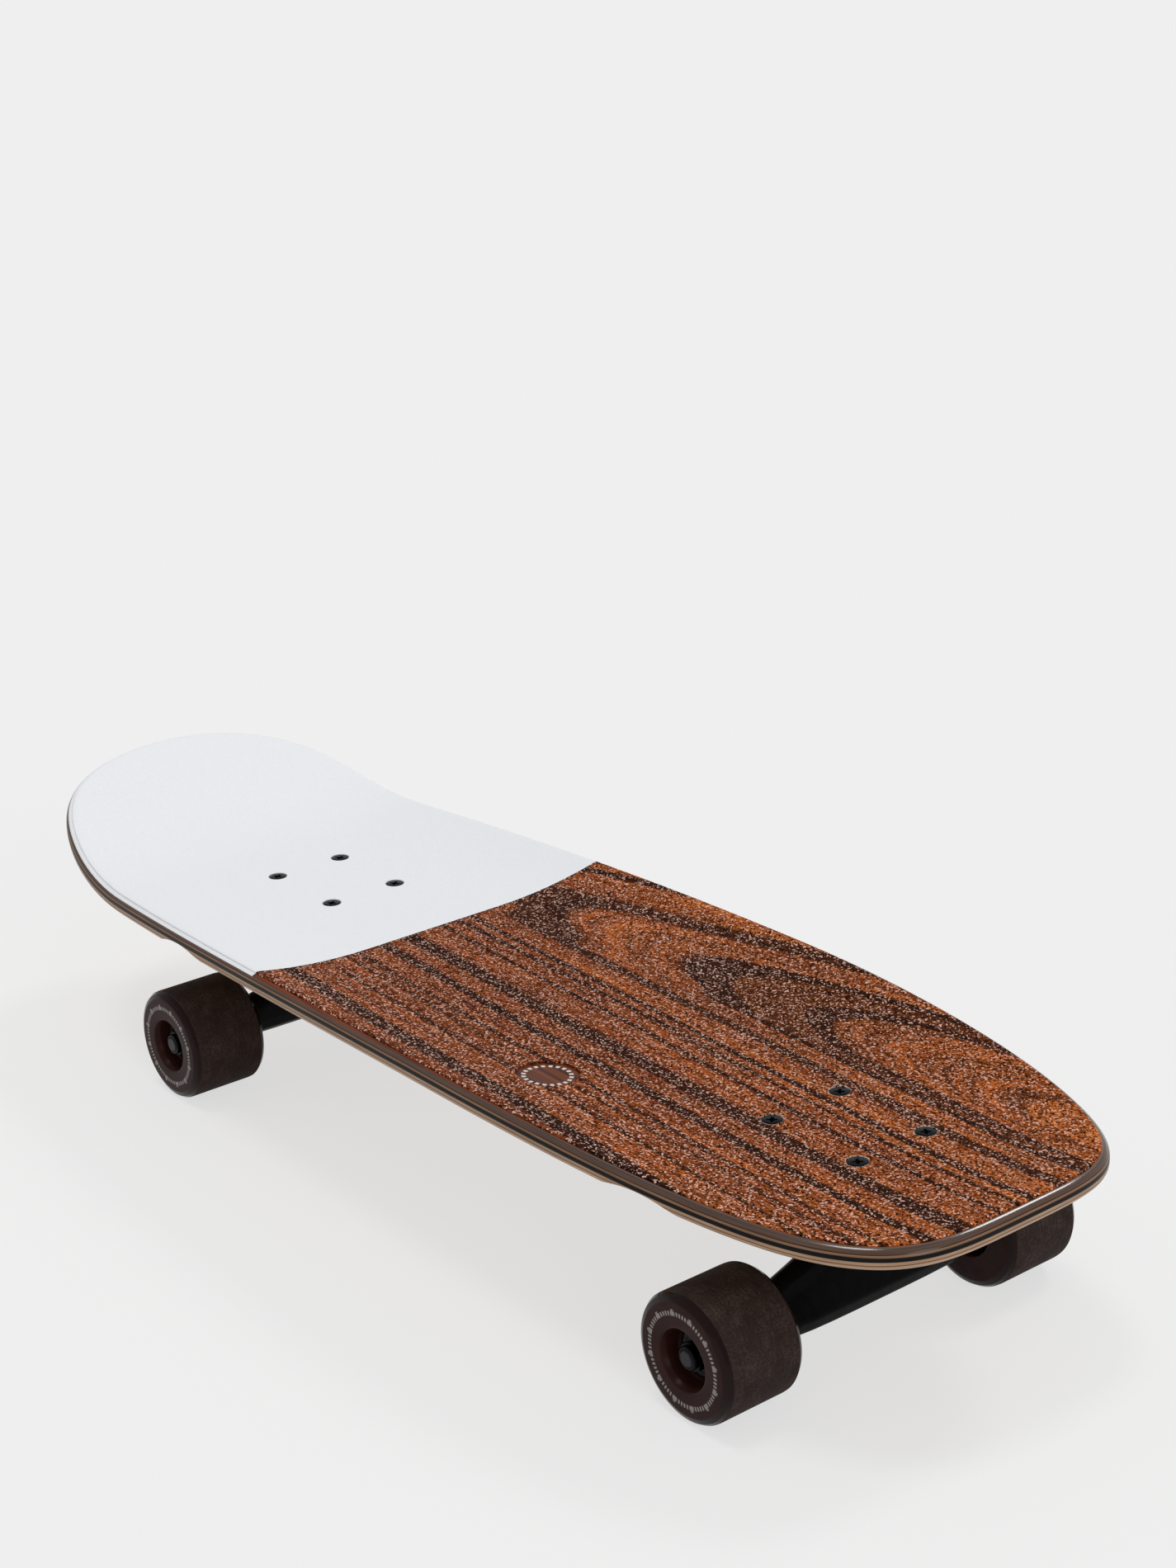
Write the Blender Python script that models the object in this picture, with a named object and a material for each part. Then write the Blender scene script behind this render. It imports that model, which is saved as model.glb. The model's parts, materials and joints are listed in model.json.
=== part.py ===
"""Cruiser skateboard: a laminated deck with a kicktail, two steering trucks and four wheels.

Units are metres. +X runs along the board towards the nose, +Y is the left side as seen
by someone facing the nose, and +Z is up. The origin is on the ground under the middle
of the board. The whole stack is built upwards from the ground: wheel, axle, truck,
riser pad, deck, grip sheet. Both trucks are the same truck, the rear one turned about.
"""

import math

import bmesh
import bpy
from mathutils import Matrix, Vector

# Clearances
SEAT_GAP = 0.0003
GRIP_GAP = 0.0002
HOLE_CLEARANCE = 0.00035

# How far a cutting tool runs past the face that it cuts, and how near points are merged
CUT_OVERSHOOT = 0.006
MERGE_DISTANCE = 1e-6

# Deck outline, seen from above
DECK_LENGTH = 0.7014
DECK_WIDTH = 0.231
WIDEST_FORWARD = 0.090
NOSE_POWER_ALONG = 2.1
NOSE_POWER_ACROSS = 4.0
TAIL_TAPER = 0.20
TAIL_TAPER_POWER = 2.4
TAIL_POWER_ALONG = 14.0

# Deck section, concave, kicktail and the slight lift of the nose
DECK_THICKNESS = 0.0104
TOP_EDGE_RADIUS = 0.0050
BOTTOM_EDGE_RADIUS = 0.0035
FLAT_HALF_WIDTH = 0.043
CONCAVE_RISE = 0.0104
CONCAVE_FORWARD = 0.079
CONCAVE_NOSE_REACH = 0.487
CONCAVE_TAIL_REACH = 0.598
KICK_BEHIND_REAR_TRUCK = 0.0571
KICK_RADIUS = 0.185
KICK_ANGLE = math.radians(20.3)
NOSE_LIFT = 0.0034
NOSE_LIFT_AHEAD_OF_TRUCK = 0.042

# Grip sheet
GRIP_THICKNESS = 0.0008
GRIP_MARGIN = 0.0052
GRIP_HOLE_RADIUS = 0.0052
WINDOW_RADIUS = 0.0150
WINDOW_FORWARD = 0.1155
WINDOW_SIDEWAYS = -0.0666

# Wheel wells, sanded into the underside of both rails
WELL_RADIUS = 0.070
WELL_DEPTH = 0.0045
WELL_REACH = 0.042
WELL_BEHIND_AXLE = 0.028

# Truck positions: each truck's place is the middle of its four mounting bolts
NOSE_TO_FRONT_TRUCK = 0.1057
TRUCK_SPACING = 0.405

# Mounting bolts and nuts
BOLT_SPACING_ALONG = 0.053975
BOLT_SPACING_ACROSS = 0.041275
BOLT_RADIUS = 0.0024
BOLT_HEAD_RADIUS = 0.0048
BOLT_LENGTH = 0.0286
BOLT_HEAD_BELOW_GRIP = 0.0002
DRIVE_LENGTH = 0.0052
DRIVE_WIDTH = 0.0011
DRIVE_DEPTH = 0.0014
MOUNT_NUT_FLATS = 0.0095
MOUNT_NUT_HEIGHT = 0.0050

# Riser pad and baseplate
RISER_THICKNESS = 0.0030
RISER_OPENING_LENGTH = 0.030
RISER_OPENING_WIDTH = 0.022
RISER_OPENING_CORNER = 0.006
PLATE_LENGTH = 0.082
PLATE_WIDTH = 0.056
PLATE_THICKNESS = 0.0055
PLATE_CORNER = 0.007
TRUCK_HEIGHT = 0.0550
AXLE_OUTBOARD = 0.0102
KINGPIN_BOSS_RADIUS = 0.0138
PIVOT_BOSS_RADIUS = 0.0110
BOSS_ROOT_SPREAD = 0.0022
BOSS_ROOT_DEPTH = 0.0020
RIB_THICKNESS = 0.0050
RIB_DEPTH = 0.0060
RIB_CORNER = 0.0020

# Kingpin line
RING_INBOARD = 0.0150
RING_DROP = 0.0340
KINGPIN_TILT = math.radians(15)
KINGPIN_RADIUS = 0.00476
KINGPIN_HEAD_FLATS = 0.0140
KINGPIN_HEAD_HEIGHT = 0.0050
KINGPIN_HEAD_SEAT = 0.0080
KINGPIN_STICK_OUT = 0.0030
KINGPIN_NUT_FLATS = 0.0143
KINGPIN_NUT_HEIGHT = 0.0075
CUP_WASHER_RADIUS = 0.0130
CUP_WASHER_THICKNESS = 0.0020
CUP_WASHER_LIP = 0.0012
BUSHING_RADIUS = 0.0118
BUSHING_CHAMFER = 0.0012
BOARD_BUSHING_HEIGHT = 0.0130
ROAD_BUSHING_HEIGHT = 0.0090
ROAD_BUSHING_END_RADIUS = 0.0100

# Pivot: the hanger's nose in its cup, on the steering axis
PIVOT_OUTBOARD = 0.0280
PIVOT_DROP = 0.0110
PIVOT_NOSE_RADIUS = 0.0052
PIVOT_NOSE_FLARE = 0.0064
PIVOT_CUP_DEPTH = 0.0090
PIVOT_CUP_WALL = 0.0018

# Hanger
HANGER_WIDTH = 0.1445
HANGER_END_RADIUS = 0.0080
RING_RADIUS = 0.0150
RING_THICKNESS = 0.0080
RING_HOLE_RADIUS = 0.0068
RING_RECESS_DEPTH = 0.0010
RING_RECESS_GAP = 0.0010
YOKE_WIDTH = 0.026
YOKE_THICKNESS = 0.0072
YOKE_CORNER = 0.004
NECK_LENGTH = 0.0040
NECK_RADIUS = 0.0068
NECK_ROOT_RADIUS = 0.0074
NECK_ROOT_HALF_WIDTH = 0.0140
NECK_WAIST_HALF_WIDTH = 0.0100
NECK_WAIST_SHARE = 0.45
# Upright sections of one shoulder: distance out from the middle, then height over the
# axle, radius and inboard lean of its top, then radius and outboard shift of its belly
SHOULDER = (
    (0.0000, 0.0196, 0.0082, 0.0028, 0.0110, 0.0028),
    (0.0160, 0.0190, 0.0080, 0.0028, 0.0110, 0.0028),
    (0.0290, 0.0158, 0.0078, 0.0028, 0.0109, 0.0028),
    (0.0410, 0.0119, 0.0074, 0.0028, 0.0107, 0.0027),
    (0.0500, 0.0096, 0.0070, 0.0026, 0.0103, 0.0024),
    (0.0560, 0.0082, 0.0068, 0.0020, 0.0098, 0.0018),
    (0.0605, 0.0044, 0.0066, 0.0010, 0.0092, 0.0010),
    (0.0640, 0.0018, 0.0072, 0.0000, 0.0088, 0.0004),
)

# Axle, bearings and wheels
AXLE_RADIUS = 0.0040
AXLE_LENGTH = 0.2105
AXLE_CHAMFER = 0.0006
AXLE_NUT_FLATS = 0.0127
AXLE_NUT_HEIGHT = 0.0062
SPEED_WASHER_THICKNESS = 0.0008
BEARING_RADIUS = 0.0110
BEARING_WIDTH = 0.0070
INNER_RING_RADIUS = 0.0061
SHIELD_INNER_RADIUS = 0.0065
SHIELD_RECESS = 0.0003
SPACER_RADIUS = 0.0054
SPACER_LENGTH = 0.0100
WHEEL_RADIUS = 0.0300
TREAD_WIDTH = 0.0376
TREAD_FLAT_WIDTH = 0.0340
TREAD_EDGE_DROP = 0.0003
LIP_RADIUS = 0.0282
LIP_OUT = 0.0022
FACE_RADIUS = 0.0248
FACE_OUT = 0.0032
BELL_RADIUS = 0.0142
BELL_OUT = 0.0028
HUB_SHOULDER_RADIUS = 0.0083

# Facets
WHEEL_FACETS = 32
BEARING_FACETS = 16
SHAFT_FACETS = 14
BOLT_FACETS = 12
CORNER_STEPS = 3
SHOULDER_STEPS = 5
RIM_SEGMENTS = 44
SEGMENTS_ACROSS = 8
ACROSS_SHARES = (0.0, 0.09, 0.19, 0.31, 0.5, 0.69, 0.81, 0.91, 1.0)
RIM_SPAN = 0.030
RIM_TURN = math.radians(9)
END_BLEND = 0.22

# Heights over the ground, from the wheels up
AXLE_Z = WHEEL_RADIUS
PLATE_TOP_Z = AXLE_Z + TRUCK_HEIGHT
RISER_BOTTOM_Z = PLATE_TOP_Z + SEAT_GAP
DECK_BOTTOM_Z = RISER_BOTTOM_Z + RISER_THICKNESS + SEAT_GAP
DECK_TOP_Z = DECK_BOTTOM_Z + DECK_THICKNESS
GRIP_TOP_Z = DECK_TOP_Z + GRIP_GAP + GRIP_THICKNESS

# Places along the board
NOSE_X = DECK_LENGTH / 2
TAIL_X = -DECK_LENGTH / 2
FRONT_TRUCK_X = NOSE_X - NOSE_TO_FRONT_TRUCK
REAR_TRUCK_X = FRONT_TRUCK_X - TRUCK_SPACING
KICK_START_X = REAR_TRUCK_X - KICK_BEHIND_REAR_TRUCK
LIFT_START_X = FRONT_TRUCK_X + NOSE_LIFT_AHEAD_OF_TRUCK

# Places along an axle, out from the middle of the truck
STACK_START = HANGER_WIDTH / 2 + SEAT_GAP
STACK_LENGTH = 2 * SPEED_WASHER_THICKNESS + 2 * BEARING_WIDTH + SPACER_LENGTH
HUB_CENTRE = STACK_START + STACK_LENGTH / 2
BEARING_OFFSET = (SPACER_LENGTH + BEARING_WIDTH) / 2
NUT_START = STACK_START + STACK_LENGTH + SEAT_GAP

# Truck frame: origin on the top of the baseplate, +x outboard, +z up
RING_CENTRE = Vector((-RING_INBOARD, 0, -RING_DROP))
PIVOT_TIP = Vector((PIVOT_OUTBOARD, 0, -PIVOT_DROP))
AXLE_CENTRE = Vector((AXLE_OUTBOARD, 0, -TRUCK_HEIGHT))
STEER_DIRECTION = (PIVOT_TIP - RING_CENTRE).normalized()
KINGPIN_DIRECTION = Vector((-math.sin(KINGPIN_TILT), 0, -math.cos(KINGPIN_TILT)))
RING_DEPTH = RING_DROP / math.cos(KINGPIN_TILT)
KINGPIN_ORIGIN = RING_CENTRE - KINGPIN_DIRECTION * RING_DEPTH

# Depths along the kingpin, from the plane of the baseplate's top
RING_FLOOR = RING_THICKNESS / 2 - RING_RECESS_DEPTH
BOARD_BUSHING_END = RING_DEPTH - RING_FLOOR - SEAT_GAP
BOARD_BUSHING_START = BOARD_BUSHING_END - BOARD_BUSHING_HEIGHT
BOARD_WASHER_START = BOARD_BUSHING_START - SEAT_GAP - CUP_WASHER_THICKNESS
BOSS_SEAT = BOARD_WASHER_START - SEAT_GAP
ROAD_BUSHING_START = RING_DEPTH + RING_FLOOR + SEAT_GAP
ROAD_WASHER_START = ROAD_BUSHING_START + ROAD_BUSHING_HEIGHT + SEAT_GAP
KINGPIN_NUT_START = ROAD_WASHER_START + CUP_WASHER_THICKNESS + SEAT_GAP
KINGPIN_END = KINGPIN_NUT_START + KINGPIN_NUT_HEIGHT + KINGPIN_STICK_OUT

# Wheel profile places, out from the middle of the hub
SEAT_OUTER = BEARING_OFFSET + BEARING_WIDTH / 2 + SEAT_GAP
SEAT_INNER = BEARING_OFFSET - BEARING_WIDTH / 2 - SEAT_GAP
SEAT_RADIUS = BEARING_RADIUS + SEAT_GAP


def clear_scene():
    for existing in list(bpy.data.objects):
        bpy.data.objects.remove(existing)


def linear(value):
    """One sRGB channel, 0 to 255, as the linear value that a shader takes."""
    share = value / 255
    if share <= 0.04045:
        return share / 12.92
    return ((share + 0.055) / 1.055) ** 2.4


def make_material(name, red, green, blue, roughness, metallic=0.0):
    material = bpy.data.materials.new(name)
    material.use_nodes = True
    shader = material.node_tree.nodes["Principled BSDF"]
    shader.inputs["Base Color"].default_value = (linear(red), linear(green), linear(blue), 1)
    shader.inputs["Roughness"].default_value = roughness
    shader.inputs["Metallic"].default_value = metallic
    return material


def finish_mesh(name, shape, smooth_angle=35):
    """Turns a bmesh into a mesh whose faces point out and whose round faces look smooth."""
    bmesh.ops.remove_doubles(shape, verts=shape.verts, dist=MERGE_DISTANCE)
    bmesh.ops.recalc_face_normals(shape, faces=shape.faces)
    mesh = bpy.data.meshes.new(name)
    shape.to_mesh(mesh)
    shape.free()
    mesh.shade_smooth()
    mesh.set_sharp_from_angle(angle=math.radians(smooth_angle))
    return mesh


def add_object(name, mesh, material, parent=None, matrix=None):
    piece = bpy.data.objects.new(name, mesh)
    bpy.context.collection.objects.link(piece)
    if material is not None and not mesh.materials:
        mesh.materials.append(material)
    piece.parent = parent
    piece.matrix_local = matrix or Matrix.Identity(4)
    return piece


def add_empty(name, matrix, parent=None):
    empty = bpy.data.objects.new(name, None)
    empty.empty_display_size = 0.02
    bpy.context.collection.objects.link(empty)
    empty.parent = parent
    empty.matrix_local = matrix
    return empty


def along(direction, place):
    """A matrix that puts local +Z along a direction, with its origin at a place."""
    return Matrix.Translation(place) @ direction.to_track_quat("Z", "Y").to_matrix().to_4x4()


def circle(radius, height, facets, half_step=False):
    """A level loop of points; half_step turns it so that a flat faces each axis."""
    turn = 0.5 if half_step else 0.0
    angles = (2 * math.pi * (index + turn) / facets for index in range(facets))
    return [Vector((radius * math.cos(a), radius * math.sin(a), height)) for a in angles]


def hexagon(across_flats, height, facets):
    """A level hexagon as a loop with as many points as the round loop it joins."""
    corner = across_flats / math.sqrt(3)
    loop = []
    for index in range(facets):
        step = 6 * index / facets
        start = Vector((math.cos(math.pi * int(step) / 3), math.sin(math.pi * int(step) / 3)))
        after = int(step) + 1
        end = Vector((math.cos(math.pi * after / 3), math.sin(math.pi * after / 3)))
        place = start.lerp(end, step - int(step)) * corner
        loop.append(Vector((place.x, place.y, height)))
    return loop


def skin(name, loops, ring=False):
    """A closed body over loops of equally many points: capped ends, or a ring joined to itself."""
    shape = bmesh.new()
    rows = [[shape.verts.new(point) for point in loop] for loop in loops]
    count = len(rows[0])
    pairs = list(zip(rows, rows[1:]))
    if ring:
        pairs.append((rows[-1], rows[0]))
    for first, second in pairs:
        for index in range(count):
            after = (index + 1) % count
            shape.faces.new((first[index], first[after], second[after], second[index]))
    if not ring:
        shape.faces.new(rows[0])
        shape.faces.new(rows[-1])
    return finish_mesh(name, shape)


def turned_ring(name, profile, facets, half_step=False):
    """A turned body with a hole: profile is a closed list of (radius, height)."""
    loops = [circle(radius, height, facets, half_step) for radius, height in profile]
    return skin(name, loops, ring=True)


def turned_pin(name, profile, facets):
    """A turned solid body: profile runs from one flat end to the other."""
    return skin(name, [circle(radius, height, facets) for radius, height in profile])


def hex_nut(name, across_flats, height, hole_radius, facets=BOLT_FACETS):
    loops = [
        circle(hole_radius, 0, facets),
        hexagon(across_flats, 0, facets),
        hexagon(across_flats, height, facets),
        circle(hole_radius, height, facets),
    ]
    return skin(name, loops, ring=True)


def rounded_plate(name, length, width, corner, bottom, top):
    """A level plate with round corners."""
    points = []
    for sign_x, sign_y, start in ((1, 1, 0), (-1, 1, 90), (-1, -1, 180), (1, -1, 270)):
        for step in range(CORNER_STEPS + 1):
            angle = math.radians(start + 90 * step / CORNER_STEPS)
            x = sign_x * (length / 2 - corner) + corner * math.cos(angle)
            y = sign_y * (width / 2 - corner) + corner * math.sin(angle)
            points.append(Vector((x, y, 0)))
    return skin(name, [[p + Vector((0, 0, height)) for p in points] for height in (bottom, top)])


def tilted_circle(centre, direction, radius, facets, across=None):
    """A loop square to a direction in the truck's side plane; across is its radius along y."""
    side = direction.cross(Vector((0, 1, 0))).normalized()
    half = Vector((0, across or radius, 0))
    loop = []
    for index in range(facets):
        angle = 2 * math.pi * index / facets
        loop.append(centre + side * radius * math.cos(angle) + half * math.sin(angle))
    return loop


def combine(mesh, operations):
    """The mesh after each (operation, tool mesh, tool matrix) in turn, as one new mesh."""
    body = add_object("body being cut", mesh, None)
    tools = []
    for operation, tool_mesh, matrix in operations:
        tool = add_object("tool", tool_mesh, None, matrix=matrix)
        tool.hide_render = True
        tool.display_type = "WIRE"
        modifier = body.modifiers.new(operation.lower(), "BOOLEAN")
        modifier.operation = operation
        modifier.object = tool
        modifier.solver = "EXACT"
        tools.append(tool)
    graph = bpy.context.evaluated_depsgraph_get()
    result = bpy.data.meshes.new_from_object(body.evaluated_get(graph))
    for helper in [body] + tools:
        bpy.data.objects.remove(helper)
    result.name = mesh.name
    shape = bmesh.new()
    shape.from_mesh(result)
    bmesh.ops.dissolve_degenerate(shape, dist=MERGE_DISTANCE, edges=shape.edges)
    return finish_mesh(mesh.name, shape)


def kick_rise(x):
    """How far the pressed sheet rises at x: level, then an arc, then a straight slope."""
    behind = KICK_START_X - x
    arc_length = KICK_RADIUS * math.sin(KICK_ANGLE)
    if behind <= 0:
        return 0.0
    if behind < arc_length:
        return KICK_RADIUS - math.sqrt(KICK_RADIUS**2 - behind**2)
    arc_rise = KICK_RADIUS * (1 - math.cos(KICK_ANGLE))
    return arc_rise + (behind - arc_length) * math.tan(KICK_ANGLE)


def concave_rise(x, y):
    """How far the rails are raised: nothing over the flat middle, then a parabola."""
    ahead = x - CONCAVE_FORWARD
    reach = ahead / (CONCAVE_NOSE_REACH if ahead > 0 else CONCAVE_TAIL_REACH)
    strength = math.cos(math.pi / 2 * max(-1.0, min(1.0, reach))) ** 2
    share = max(0.0, abs(y) - FLAT_HALF_WIDTH) / (DECK_WIDTH / 2 - FLAT_HALF_WIDTH)
    return CONCAVE_RISE * strength * share**2


def nose_rise(x):
    """How far the nose is lifted at x: nothing as far as the truck, then a parabola."""
    share = max(0.0, x - LIFT_START_X) / (NOSE_X - LIFT_START_X)
    return NOSE_LIFT * share**2


def mould(x, y):
    return kick_rise(x) + nose_rise(x) + concave_rise(x, y)


def upright_share(x, y):
    """How much longer an upright line through the pressed sheet is than the sheet is thick."""
    step = 0.0005
    slope_x = (mould(x + step, y) - mould(x - step, y)) / (2 * step)
    slope_y = (mould(x, y + step) - mould(x, y - step)) / (2 * step)
    return math.sqrt(1 + slope_x**2 + slope_y**2)


def half_outline():
    """Dense points of the left half of the outline, from the nose tip to the tail tip."""
    nose_reach = NOSE_X - WIDEST_FORWARD
    tail_reach = WIDEST_FORWARD - TAIL_X
    half = DECK_WIDTH / 2
    count = 400
    points = []
    for index in range(count):
        share = 1 - (index / count) ** NOSE_POWER_ACROSS
        width = half * (1 - share**NOSE_POWER_ALONG) ** (1 / NOSE_POWER_ACROSS)
        points.append(Vector((WIDEST_FORWARD + nose_reach * share, width)))
    for index in range(count + 1):
        share = 1 - (1 - index / count) ** 2
        taper = 1 - TAIL_TAPER * share**TAIL_TAPER_POWER
        width = half * taper * math.sqrt(max(0.0, 1 - share**TAIL_POWER_ALONG))
        points.append(Vector((WIDEST_FORWARD - tail_reach * share, width)))
    return points


def even_outline():
    """The half outline again with RIM_SEGMENTS steps, closer together where it turns."""
    dense = half_outline()
    measure = [0.0]
    heading = None
    for first, second in zip(dense, dense[1:]):
        step = second - first
        turn = abs(heading.angle(step)) if heading and step.length and heading.length else 0.0
        measure.append(measure[-1] + step.length / RIM_SPAN + turn / RIM_TURN)
        heading = step
    points = []
    place = 0
    for index in range(RIM_SEGMENTS + 1):
        wanted = measure[-1] * index / RIM_SEGMENTS
        while place < len(measure) - 2 and measure[place + 1] < wanted:
            place += 1
        share = (wanted - measure[place]) / (measure[place + 1] - measure[place])
        points.append(dense[place].lerp(dense[place + 1], min(1.0, share)))
    points[0].y = 0
    points[-1].y = 0
    return points


def deck_loop(inset):
    """The whole outline as a closed loop from the nose tip along the left side, moved inwards."""
    left = even_outline()
    right = [Vector((point.x, -point.y)) for point in reversed(left[1:-1])]
    loop = left + right
    moved = []
    for index, point in enumerate(loop):
        tangent = (loop[(index + 1) % len(loop)] - loop[index - 1]).normalized()
        moved.append(point + Vector((-tangent.y, tangent.x)) * inset)
    return moved


def deck_patch(loop):
    """A grid of (x, y) points that fills the loop: rows run across the board."""
    half = SEGMENTS_ACROSS // 2
    rows = RIM_SEGMENTS - SEGMENTS_ACROSS
    count = len(loop)
    nose = [loop[(half - j) % count] for j in range(SEGMENTS_ACROSS + 1)]
    tail = [loop[(RIM_SEGMENTS - half + j) % count] for j in range(SEGMENTS_ACROSS + 1)]
    left = [loop[half + i] for i in range(rows + 1)]
    right = [loop[-(half + i)] for i in range(rows + 1)]
    grid = []
    for i in range(rows + 1):
        near_nose = max(0.0, 1 - i / rows / END_BLEND) ** 2
        near_tail = max(0.0, 1 - (1 - i / rows) / END_BLEND) ** 2
        row = []
        for j, share in enumerate(ACROSS_SHARES):
            point = left[i].lerp(right[i], share)
            point = point + (nose[j] - left[0].lerp(right[0], share)) * near_nose
            point = point + (tail[j] - left[-1].lerp(right[-1], share)) * near_tail
            row.append(point)
        grid.append(row)
    return grid


def rim_of(grid):
    """The grid's border, in the order of the loop that it fills."""
    rows = len(grid) - 1
    last = SEGMENTS_ACROSS
    half = last // 2
    nose_left = [grid[0][j] for j in range(half, 0, -1)]
    left = [grid[i][0] for i in range(rows)]
    tail = [grid[rows][j] for j in range(last)]
    right = [grid[i][last] for i in range(rows, 0, -1)]
    nose_right = [grid[0][j] for j in range(last, half, -1)]
    return nose_left + left + tail + right + nose_right


def pressed_sheet(name, edge, base_z):
    """A sheet pressed to the mould. edge lists (inset, depth) from its top rim to its bottom rim."""
    shape = bmesh.new()

    def vertex(point, depth):
        x, y = point
        return shape.verts.new((x, y, base_z + mould(x, y) - depth * upright_share(x, y)))

    def add_patch(inset, depth):
        grid = [[vertex(p, depth) for p in row] for row in deck_patch(deck_loop(inset))]
        for first, second in zip(grid, grid[1:]):
            for j in range(SEGMENTS_ACROSS):
                shape.faces.new((first[j], first[j + 1], second[j + 1], second[j]))
        return rim_of(grid)

    rims = [add_patch(*edge[0])]
    for inset, depth in edge[1:-1]:
        rims.append([vertex(point, depth) for point in deck_loop(inset)])
    rims.append(add_patch(*edge[-1]))
    for upper, lower in zip(rims, rims[1:]):
        for index in range(len(upper)):
            after = (index + 1) % len(upper)
            shape.faces.new((upper[index], upper[after], lower[after], lower[index]))
    return finish_mesh(name, shape, smooth_angle=40)


def bolt_places():
    """The four mounting holes of one truck, in the truck frame."""
    for along_sign in (1, -1):
        for side in (1, -1):
            yield along_sign, side, along_sign * BOLT_SPACING_ALONG / 2, side * BOLT_SPACING_ACROSS / 2


def hole_cutters(mesh, centre_x):
    """One cut for each mounting hole of the truck at centre_x."""
    return [
        ("DIFFERENCE", mesh, Matrix.Translation((centre_x + x, y, 0)))
        for _, _, x, y in bolt_places()
    ]


def well_cutters(mesh, axle_x, inboard):
    """Both wheel wells of one truck: a drum laid against the underside of each rail."""
    x = axle_x + inboard * WELL_BEHIND_AXLE
    cutters = []
    for side in (1, -1):
        outer = DECK_WIDTH / 2
        inner = outer - WELL_REACH
        rise = mould(x, outer) + WELL_DEPTH - mould(x, inner)
        slope = math.atan2(rise, WELL_REACH)
        top = Vector((x, side * outer, DECK_BOTTOM_Z + mould(x, outer) + WELL_DEPTH))
        direction = Vector((0, side * math.cos(slope), math.sin(slope)))
        down = Vector((0, side * math.sin(slope), -math.cos(slope)))
        cutters.append(("DIFFERENCE", mesh, along(direction, top + down * WELL_RADIUS)))
    return cutters


def build_deck(materials):
    edge = []
    for angle in map(math.radians, (0, 30, 60, 90)):
        inset = TOP_EDGE_RADIUS * (1 - math.sin(angle))
        edge.append((inset, TOP_EDGE_RADIUS * (1 - math.cos(angle))))
    for angle in map(math.radians, (0, 45, 90)):
        inset = BOTTOM_EDGE_RADIUS * (1 - math.cos(angle))
        edge.append((inset, DECK_THICKNESS - BOTTOM_EDGE_RADIUS * (1 - math.sin(angle))))
    blank = pressed_sheet("deck", edge, DECK_TOP_Z)

    hole = BOLT_RADIUS + HOLE_CLEARANCE
    neck = GRIP_TOP_Z - BOLT_HEAD_BELOW_GRIP - (BOLT_HEAD_RADIUS - BOLT_RADIUS) - HOLE_CLEARANCE
    over = DECK_TOP_Z + CUT_OVERSHOOT
    countersink = turned_pin(
        "countersink",
        ((hole, DECK_BOTTOM_Z - CUT_OVERSHOOT), (hole, neck), (hole + over - neck, over)),
        BOLT_FACETS,
    )
    drum = turned_pin(
        "drum", ((WELL_RADIUS, -2 * WELL_REACH), (WELL_RADIUS, 2 * WELL_REACH)), WHEEL_FACETS
    )
    cuts = hole_cutters(countersink, FRONT_TRUCK_X) + hole_cutters(countersink, REAR_TRUCK_X)
    cuts += well_cutters(drum, FRONT_TRUCK_X + AXLE_OUTBOARD, -1)
    cuts += well_cutters(drum, REAR_TRUCK_X - AXLE_OUTBOARD, 1)
    add_object("deck", combine(blank, cuts), materials["maple"])


def build_grip(materials):
    edge = ((GRIP_MARGIN, 0.0), (GRIP_MARGIN, GRIP_THICKNESS))
    sheet = pressed_sheet("grip_sheet", edge, GRIP_TOP_Z)
    below = DECK_BOTTOM_Z
    above = GRIP_TOP_Z + CONCAVE_RISE + CUT_OVERSHOOT
    bolt_hole = turned_pin(
        "bolt hole", ((GRIP_HOLE_RADIUS, below), (GRIP_HOLE_RADIUS, above)), BOLT_FACETS
    )
    window = turned_pin("window", ((WINDOW_RADIUS, below), (WINDOW_RADIUS, above)), 2 * SHAFT_FACETS)
    cuts = hole_cutters(bolt_hole, FRONT_TRUCK_X) + hole_cutters(bolt_hole, REAR_TRUCK_X)
    place = Matrix.Translation((WINDOW_FORWARD, WINDOW_SIDEWAYS, 0))
    cuts.append(("DIFFERENCE", window, place))
    add_object("grip_sheet", combine(sheet, cuts), materials["grip"])


def mounting_bolt_mesh():
    """A countersunk bolt with a cross drive, head up, with its origin at the top of the head."""
    head = BOLT_HEAD_RADIUS - BOLT_RADIUS
    blank = turned_pin(
        "mounting bolt",
        ((BOLT_HEAD_RADIUS, 0), (BOLT_RADIUS, -head), (BOLT_RADIUS, -BOLT_LENGTH)),
        BOLT_FACETS,
    )
    half = DRIVE_LENGTH / 2
    arm = DRIVE_WIDTH / 2
    corners = [(half, arm), (arm, arm), (arm, half)]
    cross = []
    for quarter in range(4):
        turn = Matrix.Rotation(math.pi / 2 * quarter, 3, "Z")
        cross += [turn @ Vector((x, y, 0)) for x, y in corners]
    loops = [[point + Vector((0, 0, z)) for point in cross] for z in (-DRIVE_DEPTH, CUT_OVERSHOOT)]
    return combine(blank, [("DIFFERENCE", skin("cross drive", loops), Matrix.Identity(4))])


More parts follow.
